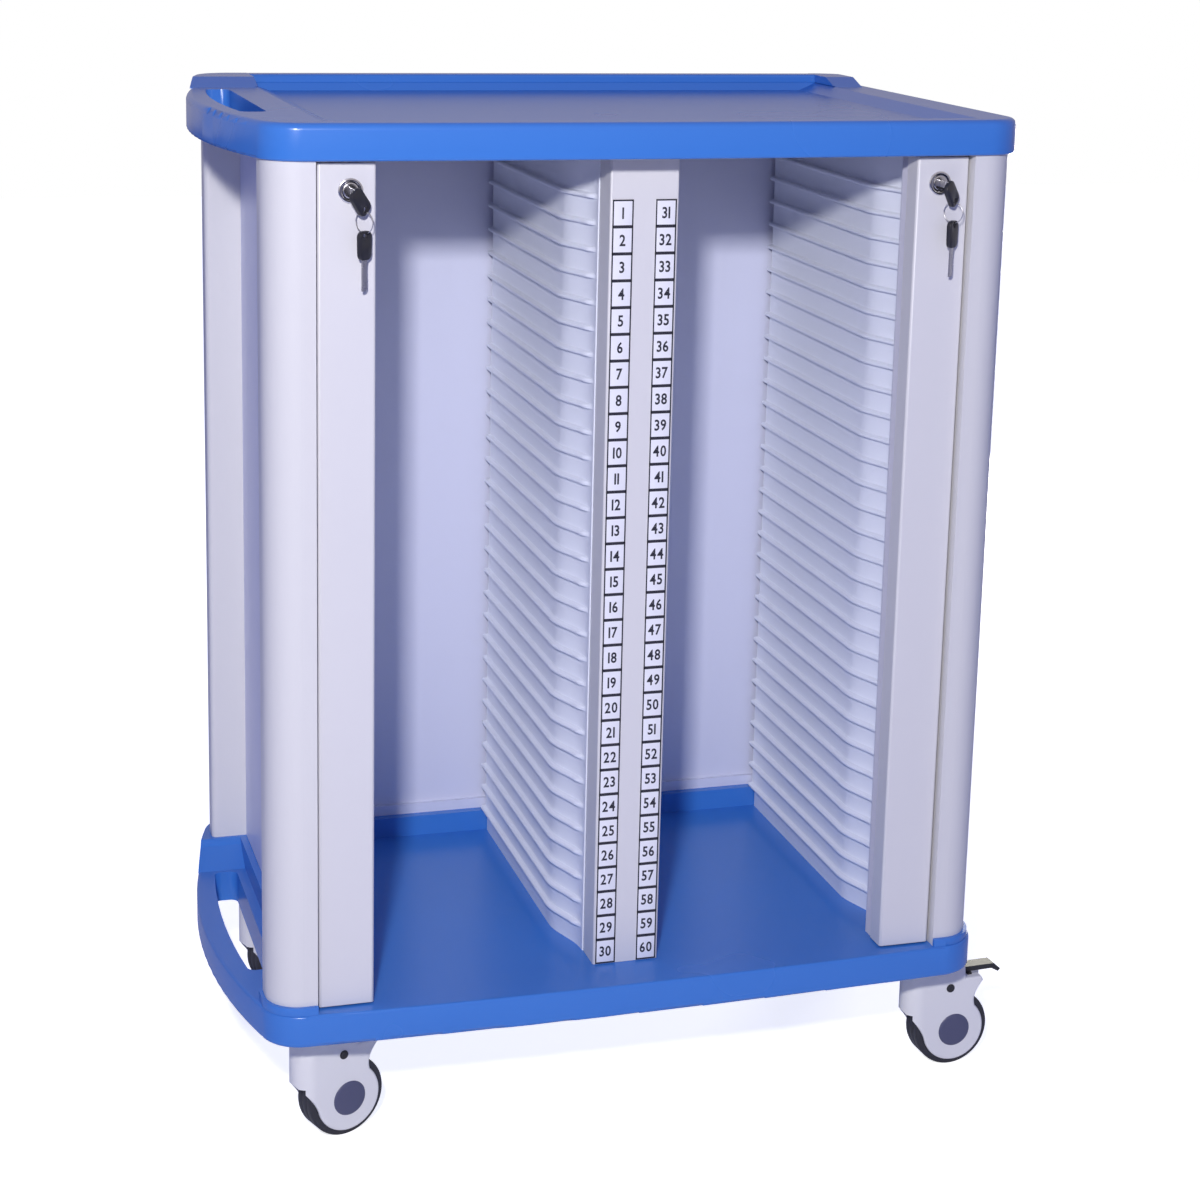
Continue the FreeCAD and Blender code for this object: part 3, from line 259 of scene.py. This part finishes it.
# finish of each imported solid, by its name or else by the start of its name
FINISHES = {
    "base_tray": BLUE, "top_tray": BLUE, "base_frame": FRAME, "ceiling_plate": FRAME,
    "door_track": ZINC, "column_screws": ZINC, "caster_stems": ZINC, "divider_frame": STILE,
    "back_panel": PANEL, "back_rails": PANEL, "shutter_guides": SHUTTER, "label_cards": CARD,
}
PREFIXES = (("column_", COLUMN), ("side_panel", PANEL), ("outer_liner", LINER),
            ("divider_liner", LINER), ("door_stile", STILE), ("lock_body", CHROME),
            ("lock_plug", CHROME), ("door_key", KEY_BLACK), ("spare_key", KEY_BLACK),
            ("shutter_leaf", SHUTTER), ("caster_shell", SHELL), ("caster_axle", CAP),
            ("caster_wheel", CORE), ("caster_tyre", TYRE), ("brake_pedal", PEDAL))


def paint(piece, material):
    """Give a piece one material in all its slots."""
    slots = piece.data.materials
    if len(slots) == 0:
        slots.append(material)
    for index in range(len(slots)):
        slots[index] = material


WELD_REACH = 1e-5
SHARP_ANGLE = 35.0


def soften(piece, width):
    """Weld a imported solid's triangles and round its sharp edges."""
    weld = piece.modifiers.new("weld", "WELD")
    weld.merge_threshold = WELD_REACH
    bevel = piece.modifiers.new("edge", "BEVEL")
    bevel.width, bevel.segments = width, 2
    bevel.limit_method, bevel.angle_limit = "ANGLE", math.radians(SHARP_ANGLE)
    bevel.harden_normals = True
    bevel.use_clamp_overlap = True


for name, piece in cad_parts.items():
    material = FINISHES.get(name)
    for prefix, candidate in PREFIXES:
        if material is None and name.startswith(prefix):
            material = candidate
    paint(piece, material)


# ---- surfaces -----------------------------------------------------------------------
def quads(rows, cols, close_rows=False, close_cols=False):
    """Faces of a grid numbered row by row: (i, j), (i, j+1), (i+1, j+1), (i+1, j)."""
    i = np.arange(rows if close_rows else rows - 1)[:, None]
    j = np.arange(cols if close_cols else cols - 1)[None, :]
    k, m = (i + 1) % rows, (j + 1) % cols
    return np.stack([i * cols + j, i * cols + m, k * cols + m, k * cols + j], -1).reshape(-1, 4).tolist()


def skin(rings):
    """Closed skin over a stack of equal rings of points, with a flat face over each end."""
    rings = np.asarray(rings, float)
    rows, cols = rings.shape[:2]
    faces = quads(rows, cols, close_cols=True)
    faces += [list(range(cols))[::-1], list(range((rows - 1) * cols, rows * cols))]
    return rings.reshape(-1, 3), faces


def across(axis):
    """Two unit vectors square to an axis and to each other."""
    axis = np.asarray(axis, float) / np.linalg.norm(axis)
    u = np.cross(axis, (0.0, 0.0, 1.0) if abs(axis[2]) < 0.9 else (1.0, 0.0, 0.0))
    u /= np.linalg.norm(u)
    return axis, u, np.cross(axis, u)


def lathe(profile, start, axis, segments=48, closed=False):
    """Turned skin: point(t, a) = start + h(t) axis + r(t) (cos a u + sin a v)."""
    axis, u, v = across(axis)
    angle = np.linspace(0, 2 * np.pi, segments, endpoint=False)[:, None]
    radius, height = np.array(profile, float).T[:, :, None, None]
    rings = np.asarray(start, float) + height * axis + radius * (np.cos(angle) * u + np.sin(angle) * v)
    if closed:
        return rings.reshape(-1, 3), quads(*rings.shape[:2], close_rows=True, close_cols=True)
    return skin(rings)


def tube(path, radius, normal):
    """Round bar on a path in a plane: point = path(s) + radius (cos a (T x normal) + sin a normal)."""
    path = np.asarray(path, float)
    run = np.gradient(path, axis=0)
    side = np.cross(run / np.linalg.norm(run, axis=1)[:, None], normal)
    angle = np.linspace(0, 2 * np.pi, 8, endpoint=False)[None, :, None]
    spokes = np.cos(angle) * side[:, None] + np.sin(angle) * np.asarray(normal)
    return skin(path[:, None] + radius * spokes)


def round_rect(half_x, half_z, radius, steps=6):
    """Points (x, z) round a rectangle with corners of the given radius."""
    spots = []
    for quarter, (sx, sz) in enumerate(((1, 1), (-1, 1), (-1, -1), (1, -1))):
        angle = np.linspace(0, np.pi / 2, steps) + quarter * np.pi / 2
        spots.append(np.stack([sx * (half_x - radius) + radius * np.cos(angle),
                               sz * (half_z - radius) + radius * np.sin(angle)], -1))
    return np.concatenate(spots)


def slab(half_x, half_z, radius, y0, y1, edge, centre=(0.0, 0.0)):
    """Plate with rounded corners and eased edges, flat in x and z, thick along y."""
    rings = []
    for inset, y in ((edge, y0), (edge * 0.3, y0 + edge * 0.3), (0, y0 + edge),
                     (0, y1 - edge), (edge * 0.3, y1 - edge * 0.3), (edge, y1)):
        plan = round_rect(half_x - inset, half_z - inset, radius - inset)
        rings.append(np.stack([plan[:, 0] + centre[0], np.full(len(plan), y),
                               plan[:, 1] + centre[1]], -1))
    return skin(rings)


def merge(parts):
    """One list of points and faces from several."""
    points, faces, first = [], [], 0
    for spots, sides in parts:
        points.append(np.asarray(spots, float).reshape(-1, 3))
        faces += [[index + first for index in side] for side in sides]
        first += len(points[-1])
    return np.concatenate(points), faces


def turned(part, moves):
    """A part's points after turns ("x"/"y"/"z", degrees) and shifts, in order."""
    spots = np.asarray(part[0], float).reshape(-1, 3)
    for kind, value in moves:
        if kind == "to":
            spots = spots + np.asarray(value, float)
        else:
            spots = spots @ np.array(Matrix.Rotation(math.radians(value), 3, kind.upper())).T
    return spots, part[1]


def add(name, parts, material, body, nodes=(), smooth=40.0):
    """Object from cabinet millimetres; it rides on a body and stands for CAD nodes."""
    points, faces = merge(parts)
    mesh = bpy.data.meshes.new(name)
    mesh.from_pydata(place(points).tolist(), [], faces)
    work = bmesh.new()
    work.from_mesh(mesh)
    bmesh.ops.recalc_face_normals(work, faces=work.faces[:])
    work.to_mesh(mesh)
    work.free()
    mesh.shade_smooth()
    mesh.set_sharp_from_angle(angle=math.radians(smooth))
    mesh.materials.append(material)
    piece = bpy.data.objects.new(name, mesh)
    bpy.context.scene.collection.objects.link(piece)
    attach(piece, body)
    if nodes:
        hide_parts(*nodes)
    return piece


# ---- liners -------------------------------------------------------------------------
BAY_FACE, DIVIDER_FACE = 300.0, 55.0        # wall planes from the centre plane
MOUTH_STEP = 17.0                           # the wall stands back by this at its mouth
LEAD_START, LEAD_LENGTH = 78.0, 72.0        # S-shaped lead-in, from the stile face
LINER_FRONT, LINER_REAR = 73.5, 452.0
LINER_FOOT_REAR = 442.0                     # rear end beside the rear upstand
LINER_WALL = 2.5
EASE_SHARE = 0.22                           # part of the lead-in in which a ledge dies away
# one ledge's section: (proud of the wall, height from its top line)
LEDGE = ((0.0, 1.3), (0.3, 0.4), (1.2, 0.0), (4.3, -0.1), (5.3, -0.6), (5.85, -1.5), (6.0, -2.5),
         (5.85, -3.5), (5.3, -4.4), (4.3, -4.9), (1.2, -5.0), (0.3, -5.4), (0.0, -6.3))


def ledged_wall(face_x, side):
    """Bay wall with rounded ledges.

    plan(s) = wall line with an S-shaped lead-in, x = mouth + 17 smooth((y - 78) / 72);
    point(s, z) = plan(s) + normal(s) * proud(z) * ease(s), where proud follows the ledge
    profile once a pitch and ease lets each ledge die away towards the mouth."""
    out = face_x - side * MOUTH_STEP
    y = np.concatenate([[LINER_FRONT], np.linspace(LEAD_START, LEAD_START + LEAD_LENGTH, 26),
                        [156, 190, 240, 340, LINER_FOOT_REAR, LINER_REAR]])
    share = np.clip((y - LEAD_START) / LEAD_LENGTH, 0, 1)
    x = out + side * MOUTH_STEP * share * share * (3 - 2 * share)
    run = np.gradient(np.stack([x, y], -1), axis=0)
    run /= np.linalg.norm(run, axis=1)[:, None]
    normal = np.stack([run[:, 1], -run[:, 0]], -1) * side
    ease = np.clip(share / EASE_SHARE, 0, 1)
    ease = ease * ease * (3 - 2 * ease)
    levels = [(0.0, DECK)]
    for index in range(SLOTS):
        top = LABEL_LOW + (index + 1) * PITCH
        levels += [(proud, top + dz) for proud, dz in reversed(LEDGE)]
    levels.append((0.0, LINER_TOP))
    rings = []
    for proud, z in levels:
        wall_y = np.where(z < UPSTAND_TOP + 1, np.minimum(y, LINER_FOOT_REAR), y)
        front = np.stack([x + normal[:, 0] * proud * ease,
                          wall_y + normal[:, 1] * proud * ease, np.full(len(y), z)], -1)
        rear = np.stack([x - side * LINER_WALL, wall_y, np.full(len(y), z)], -1)[::-1]
        rings.append(np.concatenate([front, rear]))
    return skin(rings)


for name, face_x, side in (("outer_liner_left", -BAY_FACE, 1), ("outer_liner_right", BAY_FACE, -1),
                           ("divider_liner_left", -DIVIDER_FACE, -1),
                           ("divider_liner_right", DIVIDER_FACE, 1)):
    add(name + "_ledges", [ledged_wall(face_x, side)], LINER, "cabinet", [name], 60.0)


# ---- numbered labels ----------------------------------------------------------------
LABEL_X = 23.25                             # label columns from the centre plane
CARD_HALF, CARD_TALL, CARD_ROUND = 11.25, 13.5, 0.8
CARD_FACE, CARD_BACK = 34.2, 35.0
FRAME_TALL = 14.0                           # half height of a printed frame
FRAME_SIDE, FRAME_END = 1.45, 1.6           # width of its upright and level lines
INK_FACE, INK_BACK, NUMERAL_FACE = 34.08, 34.22, 34.12
NUMERAL_HEIGHT, NUMERAL_SQUEEZE, NUMERAL_GAP = 12.0, 0.82, 1.3
NUMERAL_WEIGHT = 0.022


def numerals():
    """Flat points and faces of each numeral, 1 high and centred, with its own width."""
    shapes = {}
    for digit in "0123456789":
        curve = bpy.data.curves.new("numeral", "FONT")
        curve.body, curve.resolution_u, curve.offset = digit, 3, NUMERAL_WEIGHT
        holder = bpy.data.objects.new("numeral", curve)
        bpy.context.scene.collection.objects.link(holder)
        bpy.context.view_layer.update()
        final = holder.evaluated_get(bpy.context.evaluated_depsgraph_get())
        mesh = bpy.data.meshes.new_from_object(final)
        flat = np.array([vertex.co[:2] for vertex in mesh.vertices])
        faces = [list(polygon.vertices) for polygon in mesh.polygons]
        low, high = flat.min(0), flat.max(0)
        flat = (flat - (low + high) / 2) / (high[1] - low[1])
        shapes[digit] = (flat, faces, float(np.ptp(flat[:, 0])))
        bpy.data.objects.remove(holder)
        bpy.data.meshes.remove(mesh)
        bpy.data.curves.remove(curve)
    return shapes


def label_parts():
    """Cards, then the printed frames and numbers a hair in front of them."""
    shapes = numerals()
    cards, print_parts = [], []
    inner, level = CARD_HALF - FRAME_SIDE, FRAME_TALL - FRAME_END
    bars = [(-CARD_HALF, -inner, -FRAME_TALL, FRAME_TALL), (inner, CARD_HALF, -FRAME_TALL, FRAME_TALL),
            (-CARD_HALF, CARD_HALF, -FRAME_TALL, -level), (-CARD_HALF, CARD_HALF, level, FRAME_TALL)]
    for index in range(2 * SLOTS):
        column, row = divmod(index, SLOTS)
        x = -LABEL_X if column == 0 else LABEL_X
        z = LABEL_LOW + (SLOTS - row - 0.5) * PITCH
        cards.append(slab(CARD_HALF, CARD_TALL, CARD_ROUND, CARD_FACE, CARD_BACK, 0.2, (x, z)))
        for x0, x1, z0, z1 in bars:
            print_parts.append(slab((x1 - x0) / 2, (z1 - z0) / 2, 0.06, INK_FACE, INK_BACK, 0.02,
                                    (x + (x0 + x1) / 2, z + (z0 + z1) / 2)))
        text = str(index + 1)
        widths = [shapes[digit][2] * NUMERAL_HEIGHT * NUMERAL_SQUEEZE for digit in text]
        at = -(sum(widths) + NUMERAL_GAP * (len(text) - 1)) / 2
        for digit, width in zip(text, widths):
            flat, faces, _ = shapes[digit]
            spots = np.stack([x + at + width / 2 + flat[:, 0] * NUMERAL_HEIGHT * NUMERAL_SQUEEZE,
                              np.full(len(flat), NUMERAL_FACE), z + flat[:, 1] * NUMERAL_HEIGHT], -1)
            print_parts.append((spots, faces))
            at += width + NUMERAL_GAP
    return cards, print_parts


CARDS, PRINT = label_parts()
add("label_plates", CARDS, CARD, "cabinet", ["label_cards"])
add("label_print", PRINT, INK, "cabinet", (), 1.0)

# ---- locks and keys -----------------------------------------------------------------
LOCK_X, LOCK_Z = 312.5, 1036.0
KEY_TURN, KEY_DROOP = 37.0, 40.0            # degrees: heads about z, folded head from hanging
KEY_REACH = 21.5                            # the fold stands this far before the stile face
HOLE_DROP = 22.0                            # fold to the ring hole of the folded head
HEAD_HALF, HEAD_TALL, HEAD_ROUND = 8.8, 14.4, 6.0
HEAD_MIDDLE = -10.0                         # middle of a head below its ring hole
RING_RADIUS, WIRE, RING_PITCH = 11.0, 0.46, 0.42
RING_DROP = 12.7                            # ring hole to the middle of the ring
BLADE_TOP, BLADE_LENGTH, BLADE_HALF = -22.0, 33.0, 3.5
# (radius, height along +y) of the lock body with its raised rim
ROSE = ((5.0, 26.9), (9.4, 26.9), (9.5, 0.0), (12.1, 0.0), (12.5, -0.4), (12.5, -1.1),
        (12.2, -1.7), (11.5, -2.0), (10.4, -2.0), (9.9, -1.8), (9.2, -1.3), (7.4, -1.2),
        (6.9, -1.4), (6.6, -1.2), (6.56, 0.0))
# sections of a key head: inset from its outline, then radius of its hole, each with y
HEAD_OUTSIDE = ((1.0, -2.5), (0.3, -2.2), (0.0, -1.5), (0.0, 1.5), (0.3, 2.2), (1.0, 2.5))
HEAD_HOLE = ((4.0, 2.5), (3.4, 2.2), (3.2, 1.6), (3.2, -1.6), (3.4, -2.2), (4.0, -2.5))


def key_head_part():
    """Flat key head round its ring hole: a flat ring between a rounded oblong, narrowed a
    little at its waist, and the hole, section = eased outer edge, flat face, eased hole edge."""
    centre = np.array([0.0, HEAD_MIDDLE])
    plan = round_rect(HEAD_HALF, HEAD_TALL, HEAD_ROUND, 10) + centre
    angle = np.arctan2(plan[:, 1], plan[:, 0])
    hole = np.stack([np.cos(angle), np.sin(angle)], -1)
    waist = 1 - 0.05 * np.exp(-((plan[:, 1] + 20) / 5.0) ** 2)
    plan = plan * np.stack([waist, np.ones_like(waist)], -1)
    rings = []
    for inset, y in HEAD_OUTSIDE:
        shrink = 1 - inset / np.linalg.norm(plan - centre, axis=1)[:, None]
        rings.append(np.insert(centre + (plan - centre) * shrink, 1, y, axis=1))
    for radius, y in HEAD_HOLE:
        rings.append(np.insert(hole * radius, 1, y, axis=1))
    rings = np.array(rings)
    return rings.reshape(-1, 3), quads(*rings.shape[:2], close_rows=True, close_cols=True)


def key_blade_part(length):
    """Steel blade hanging along -z: its front edge is cut in shallow V notches."""
    z = np.linspace(0, -length, 29)
    bite = np.interp(-z, [0, 6, 8, 10, 12, 15, 17, 19, 22, 24, length - 2, length],
                     [0, 0, 0.9, 0.2, 1.2, 0.3, 1.0, 0.1, 0.8, 0.1, 0.2, 2.4])
    rings = []
    for inset, y in ((0.35, -1.0), (0.0, -0.7), (0.0, 0.7), (0.35, 1.0)):
        edge = np.stack([BLADE_HALF - bite - inset, np.full(len(z), y), z], -1)
        spine = np.stack([np.full(len(z), -BLADE_HALF + inset), np.full(len(z), y), z], -1)[::-1]
        rings.append(np.concatenate([edge, spine]))
    return skin(rings)


def split_ring(centre):
    """Two flat turns of wire: path(a) = centre + 11 (cos a u + sin a z) + 0.42 (a / 2pi - 1) n."""
    angle = np.linspace(0, 4 * np.pi, 121)[:, None]
    turn = math.radians(KEY_TURN)
    normal = np.array([math.cos(turn), math.sin(turn), 0.0])
    side = np.array([-normal[1], normal[0], 0.0])
    round_path = np.cos(angle) * side + np.sin(angle) * np.array([0, 0, 1.0])
    path = (np.asarray(centre) + RING_RADIUS * round_path
            + RING_PITCH * (angle / (2 * np.pi) - 1) * normal)
    return tube(path, WIRE, normal)


for side, x in (("left", -LOCK_X), ("right", LOCK_X)):
    droop, turn = math.radians(KEY_DROOP), math.radians(KEY_TURN)
    along = HOLE_DROP * math.sin(droop)
    ring_hole = np.array([x + along * math.cos(turn), -KEY_REACH + along * math.sin(turn),
                          LOCK_Z - HOLE_DROP * math.cos(droop)])
    hang = np.array([0, 0, RING_DROP])
    spare_hole = ring_hole - 2 * hang
    add("lock_rose_" + side, [lathe(ROSE, (x, 0, LOCK_Z), (0, 1, 0))], CHROME, "door_" + side,
        ["lock_body_" + side])
    head = turned(key_head_part(), [("y", 180 - KEY_DROOP), ("z", KEY_TURN), ("to", ring_hole)])
    stem = turned(slab(1.0, 3.5, 0.6, -KEY_REACH, 9, 0.3), [("to", (x, 0, LOCK_Z))])
    add("key_bow_" + side, [head], KEY_BLACK, "lock_" + side, ["door_key_" + side])
    add("key_stem_" + side, [stem], STEEL, "lock_" + side, ())
    spare = turned(key_head_part(), [("z", KEY_TURN), ("to", spare_hole)])
    add("spare_bow_" + side, [spare], KEY_BLACK, "spare_key_" + side, ["spare_key_" + side])
    blade = turned(key_blade_part(BLADE_LENGTH),
                   [("to", (0, 0, BLADE_TOP)), ("z", KEY_TURN), ("to", spare_hole)])
    add("spare_steel_" + side, [split_ring(ring_hole - hang), blade], STEEL,
        "spare_key_" + side, ())

# ---- casters ------------------------------------------------------------------------
WHEEL_X, WHEEL_Z = 32.0, 45.0               # wheel centre behind the kingpin, above the floor
SHELL_HALF = 20.0
AXLE_RADIUS = 5.0
BOLT_X, BOLT_Z = 25.0, 97.6
ROOT_PLACE = (61.5, 0, 107.0)               # block between a brake pedal and its shell
ROOT_HALF, ROOT_TALL, ROOT_ROUND, ROOT_DEEP, ROOT_EDGE = 6.0, 2.6, 1.4, 7.6, 0.8
# kingpin x and y, and the way the wheel points, in degrees
CASTERS = {"front_left": (-340.0, 60.0, 20.0), "front_right": (372.0, 60.0, 3.0),
           "rear_left": (-340.0, 430.0, 20.0), "rear_right": (372.0, 430.0, 6.0)}
# turned sections: (radius, height from the shell's side) and (radius, y from the wheel's middle)
HUB_CAP = ((1.0, 1.5), (6.8, 1.48), (13.5, 1.38), (17.6, 1.2), (18.9, 0.8), (19.5, 0.2), (19.5, 0.0))
BOLT_DOT = ((1.0, 0.6), (2.1, 0.6), (2.6, 1.0), (4.3, 1.1), (4.9, 0.8), (5.1, 0.3), (5.1, -0.5))
TYRE_SECTION = ((35.0, -15.0), (42.0, -15.0), (43.6, -14.6), (44.7, -13.4), (45.0, -11.8),
                (45.0, -6.0), (44.5, -5.4), (44.5, -4.6), (45.0, -4.0), (45.0, 4.0),
                (44.5, 4.6), (44.5, 5.4), (45.0, 6.0), (45.0, 11.8), (44.7, 13.4),
                (43.6, 14.6), (42.0, 15.0), (35.0, 15.0))

for corner, (x, y, angle) in CASTERS.items():
    sit = [("z", angle), ("to", (x, y, 0))]
    wheel = (WHEEL_X, 0, WHEEL_Z)
    caps = [lathe(HUB_CAP, (WHEEL_X, way * SHELL_HALF, WHEEL_Z), (0, way, 0)) for way in (-1, 1)]
    caps.append(lathe(((AXLE_RADIUS, -SHELL_HALF), (AXLE_RADIUS, SHELL_HALF)), wheel, (0, 1, 0), 24))
    add("hub_caps_" + corner, [turned(part, sit) for part in caps], CAP, "caster_" + corner,
        ["caster_axle_" + corner])
    dots = [lathe(BOLT_DOT, (BOLT_X, way * SHELL_HALF, BOLT_Z), (0, way, 0), 32) for way in (-1, 1)]
    add("side_bolts_" + corner, [turned(part, sit) for part in dots], PEDAL,
        "caster_" + corner, ())
    tread = lathe(TYRE_SECTION, wheel, (0, 1, 0), 96, closed=True)
    add("tread_" + corner, [turned(tread, sit)], TYRE, "wheel_" + corner,
        ["caster_tyre_" + corner])
    if corner in ("front_right", "rear_left"):
        root = slab(ROOT_HALF, ROOT_TALL, ROOT_ROUND, -ROOT_DEEP, ROOT_DEEP, ROOT_EDGE)
        root = turned(turned(root, [("to", ROOT_PLACE)]), sit)
        add("pedal_root_" + corner, [root], ROOT, "pedal_" + corner, ())

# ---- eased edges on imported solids: name and width of the bevel ----------------------
for name, width in (("brake_pedal_front_right", 0.8), ("brake_pedal_rear_left", 0.8),
                    ("door_stile_left", 0.8), ("door_stile_right", 0.8), ("divider_frame", 0.5),
                    ("side_panel_left", 0.6), ("side_panel_right", 0.6),
                    ("base_tray", 1.2), ("top_tray", 1.5)):
    soften(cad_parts[name], width * MM)

# ---- camera and studio --------------------------------------------------------------
HEADING, DIP, ROLL = 16.90, 12.24, 1.32
CAMERA_SPOT = (-755.71, -2323.33, 1323.47)  # cabinet millimetres
SENSOR = 36.0
FOCAL_WIDTHS = 2421.79 / 1200               # focal length in widths of the frame
FRAME_SHIFT = (-0.0027, -0.15)
AMBIENT = (0.03, 0.055, 0.27)               # what rough surfaces receive from all round
REFLECTED = (0.56, 0.52, 0.52)              # what glossy surfaces mirror
FLOOR_HALF = 8.0
FLOOR_GLOW = 0.78                           # glow near the object, 1 further out
GLOW_NEAR, GLOW_FAR = 0.8, 2.2
# spot, aim, side, watts, colour
KEY_LAMP = ((-0.97, -2.53, 1.815), (0.0, 0.0, 0.62), 0.14, 60.0, (1.0, 0.98, 1.0))
REAR_LAMP = ((1.9, 2.7, 0.5), (0.1, 0.1, 0.6), 0.9, 62.0, (1.0, 0.97, 0.86))


def camera():
    """Camera from its heading, dip and roll: right = roll(cos h, -sin h, 0), looking forward."""
    heading, dip, roll = (math.radians(v) for v in (HEADING, DIP, ROLL))
    look = Vector((math.sin(heading) * math.cos(dip), math.cos(heading) * math.cos(dip),
                   -math.sin(dip)))
    flat = Vector((math.cos(heading), -math.sin(heading), 0))
    lift = flat.cross(look)
    right = flat * math.cos(roll) + lift * math.sin(roll)
    up = lift * math.cos(roll) - flat * math.sin(roll)
    data = bpy.data.cameras.new("camera")
    data.sensor_width = SENSOR
    data.lens = FOCAL_WIDTHS * SENSOR
    data.shift_x, data.shift_y = FRAME_SHIFT
    data.clip_start, data.clip_end = 0.05, 60.0
    made = bpy.data.objects.new("camera", data)
    bpy.context.scene.collection.objects.link(made)
    turn = Matrix((right, up, -look)).transposed().to_4x4()
    spot = Vector(CAMERA_SPOT) * MM + SHIFT
    made.matrix_world = Matrix.Translation(spot) @ turn
    bpy.context.scene.camera = made


def area_lamp(name, spot, aim, size, watts, colour):
    """Soft square lamp aimed at a point."""
    data = bpy.data.lights.new(name, "AREA")
    data.shape, data.size, data.energy, data.color = "SQUARE", size, watts, colour
    made = bpy.data.objects.new(name, data)
    made.location = spot
    made.rotation_euler = (Vector(aim) - Vector(spot)).to_track_quat("-Z", "Y").to_euler()
    bpy.context.scene.collection.objects.link(made)


def ray_kinds(tree):
    """Two masks: 1 for camera rays and 1 for mirrored rays, else 0."""
    path = node(tree, "ShaderNodeLightPath")
    return path.outputs["Is Camera Ray"], path.outputs["Is Glossy Ray"]


def studio():
    """Pale floor, brighter away from the object, a white surround, a lamp beyond the
    camera's left shoulder and a broad low one behind the object."""
    mesh = bpy.data.meshes.new("floor")
    corners = [(x * FLOOR_HALF, y * FLOOR_HALF, 0) for x, y in ((-1, -1), (1, -1), (1, 1), (-1, 1))]
    mesh.from_pydata(corners, [], [(0, 1, 2, 3)])
    floor = bpy.data.objects.new("floor", mesh)
    bpy.context.scene.collection.objects.link(floor)
    material = bpy.data.materials.new("floor_white")
    material.use_nodes = True
    tree = material.node_tree
    surface = tree.nodes["Principled BSDF"]
    surface.inputs["Base Color"].default_value = (0.9, 0.9, 0.92, 1)
    surface.inputs["Roughness"].default_value = 0.9
    surface.inputs["Emission Color"].default_value = (1, 1, 1, 1)
    seen = ray_kinds(tree)[0]
    where = node(tree, "ShaderNodeTexCoord")
    reach = node(tree, "ShaderNodeVectorMath", operation="LENGTH")
    rise = node(tree, "ShaderNodeMapRange", {1: GLOW_NEAR, 2: GLOW_FAR, 3: FLOOR_GLOW, 4: 1.0},
                interpolation_type="SMOOTHSTEP")
    glow = node(tree, "ShaderNodeMath", operation="MULTIPLY")
    tree.links.new(where.outputs["Object"], reach.inputs[0])
    tree.links.new(reach.outputs["Value"], rise.inputs[0])
    tree.links.new(rise.outputs[0], glow.inputs[1])
    tree.links.new(seen, glow.inputs[0])
    tree.links.new(glow.outputs[0], surface.inputs["Emission Strength"])
    floor.data.materials.append(material)
    world = bpy.data.worlds.new("studio")
    bpy.context.scene.world = world
    world.use_nodes = True
    tree = world.node_tree
    seen, mirrored = ray_kinds(tree)
    soft = node(tree, "ShaderNodeMix", data_type="RGBA")
    soft.inputs[6].default_value, soft.inputs[7].default_value = (*AMBIENT, 1), (*REFLECTED, 1)
    tint = node(tree, "ShaderNodeMix", data_type="RGBA")
    tint.inputs[7].default_value = (1, 1, 1, 1)
    tree.links.new(mirrored, soft.inputs[0])
    tree.links.new(soft.outputs[2], tint.inputs[6])
    tree.links.new(seen, tint.inputs[0])
    tree.links.new(tint.outputs[2], tree.nodes["Background"].inputs["Color"])
    area_lamp("key_lamp", *KEY_LAMP)
    area_lamp("rear_lamp", *REAR_LAMP)


camera()
studio()
bpy.context.scene.view_settings.view_transform = "Standard"
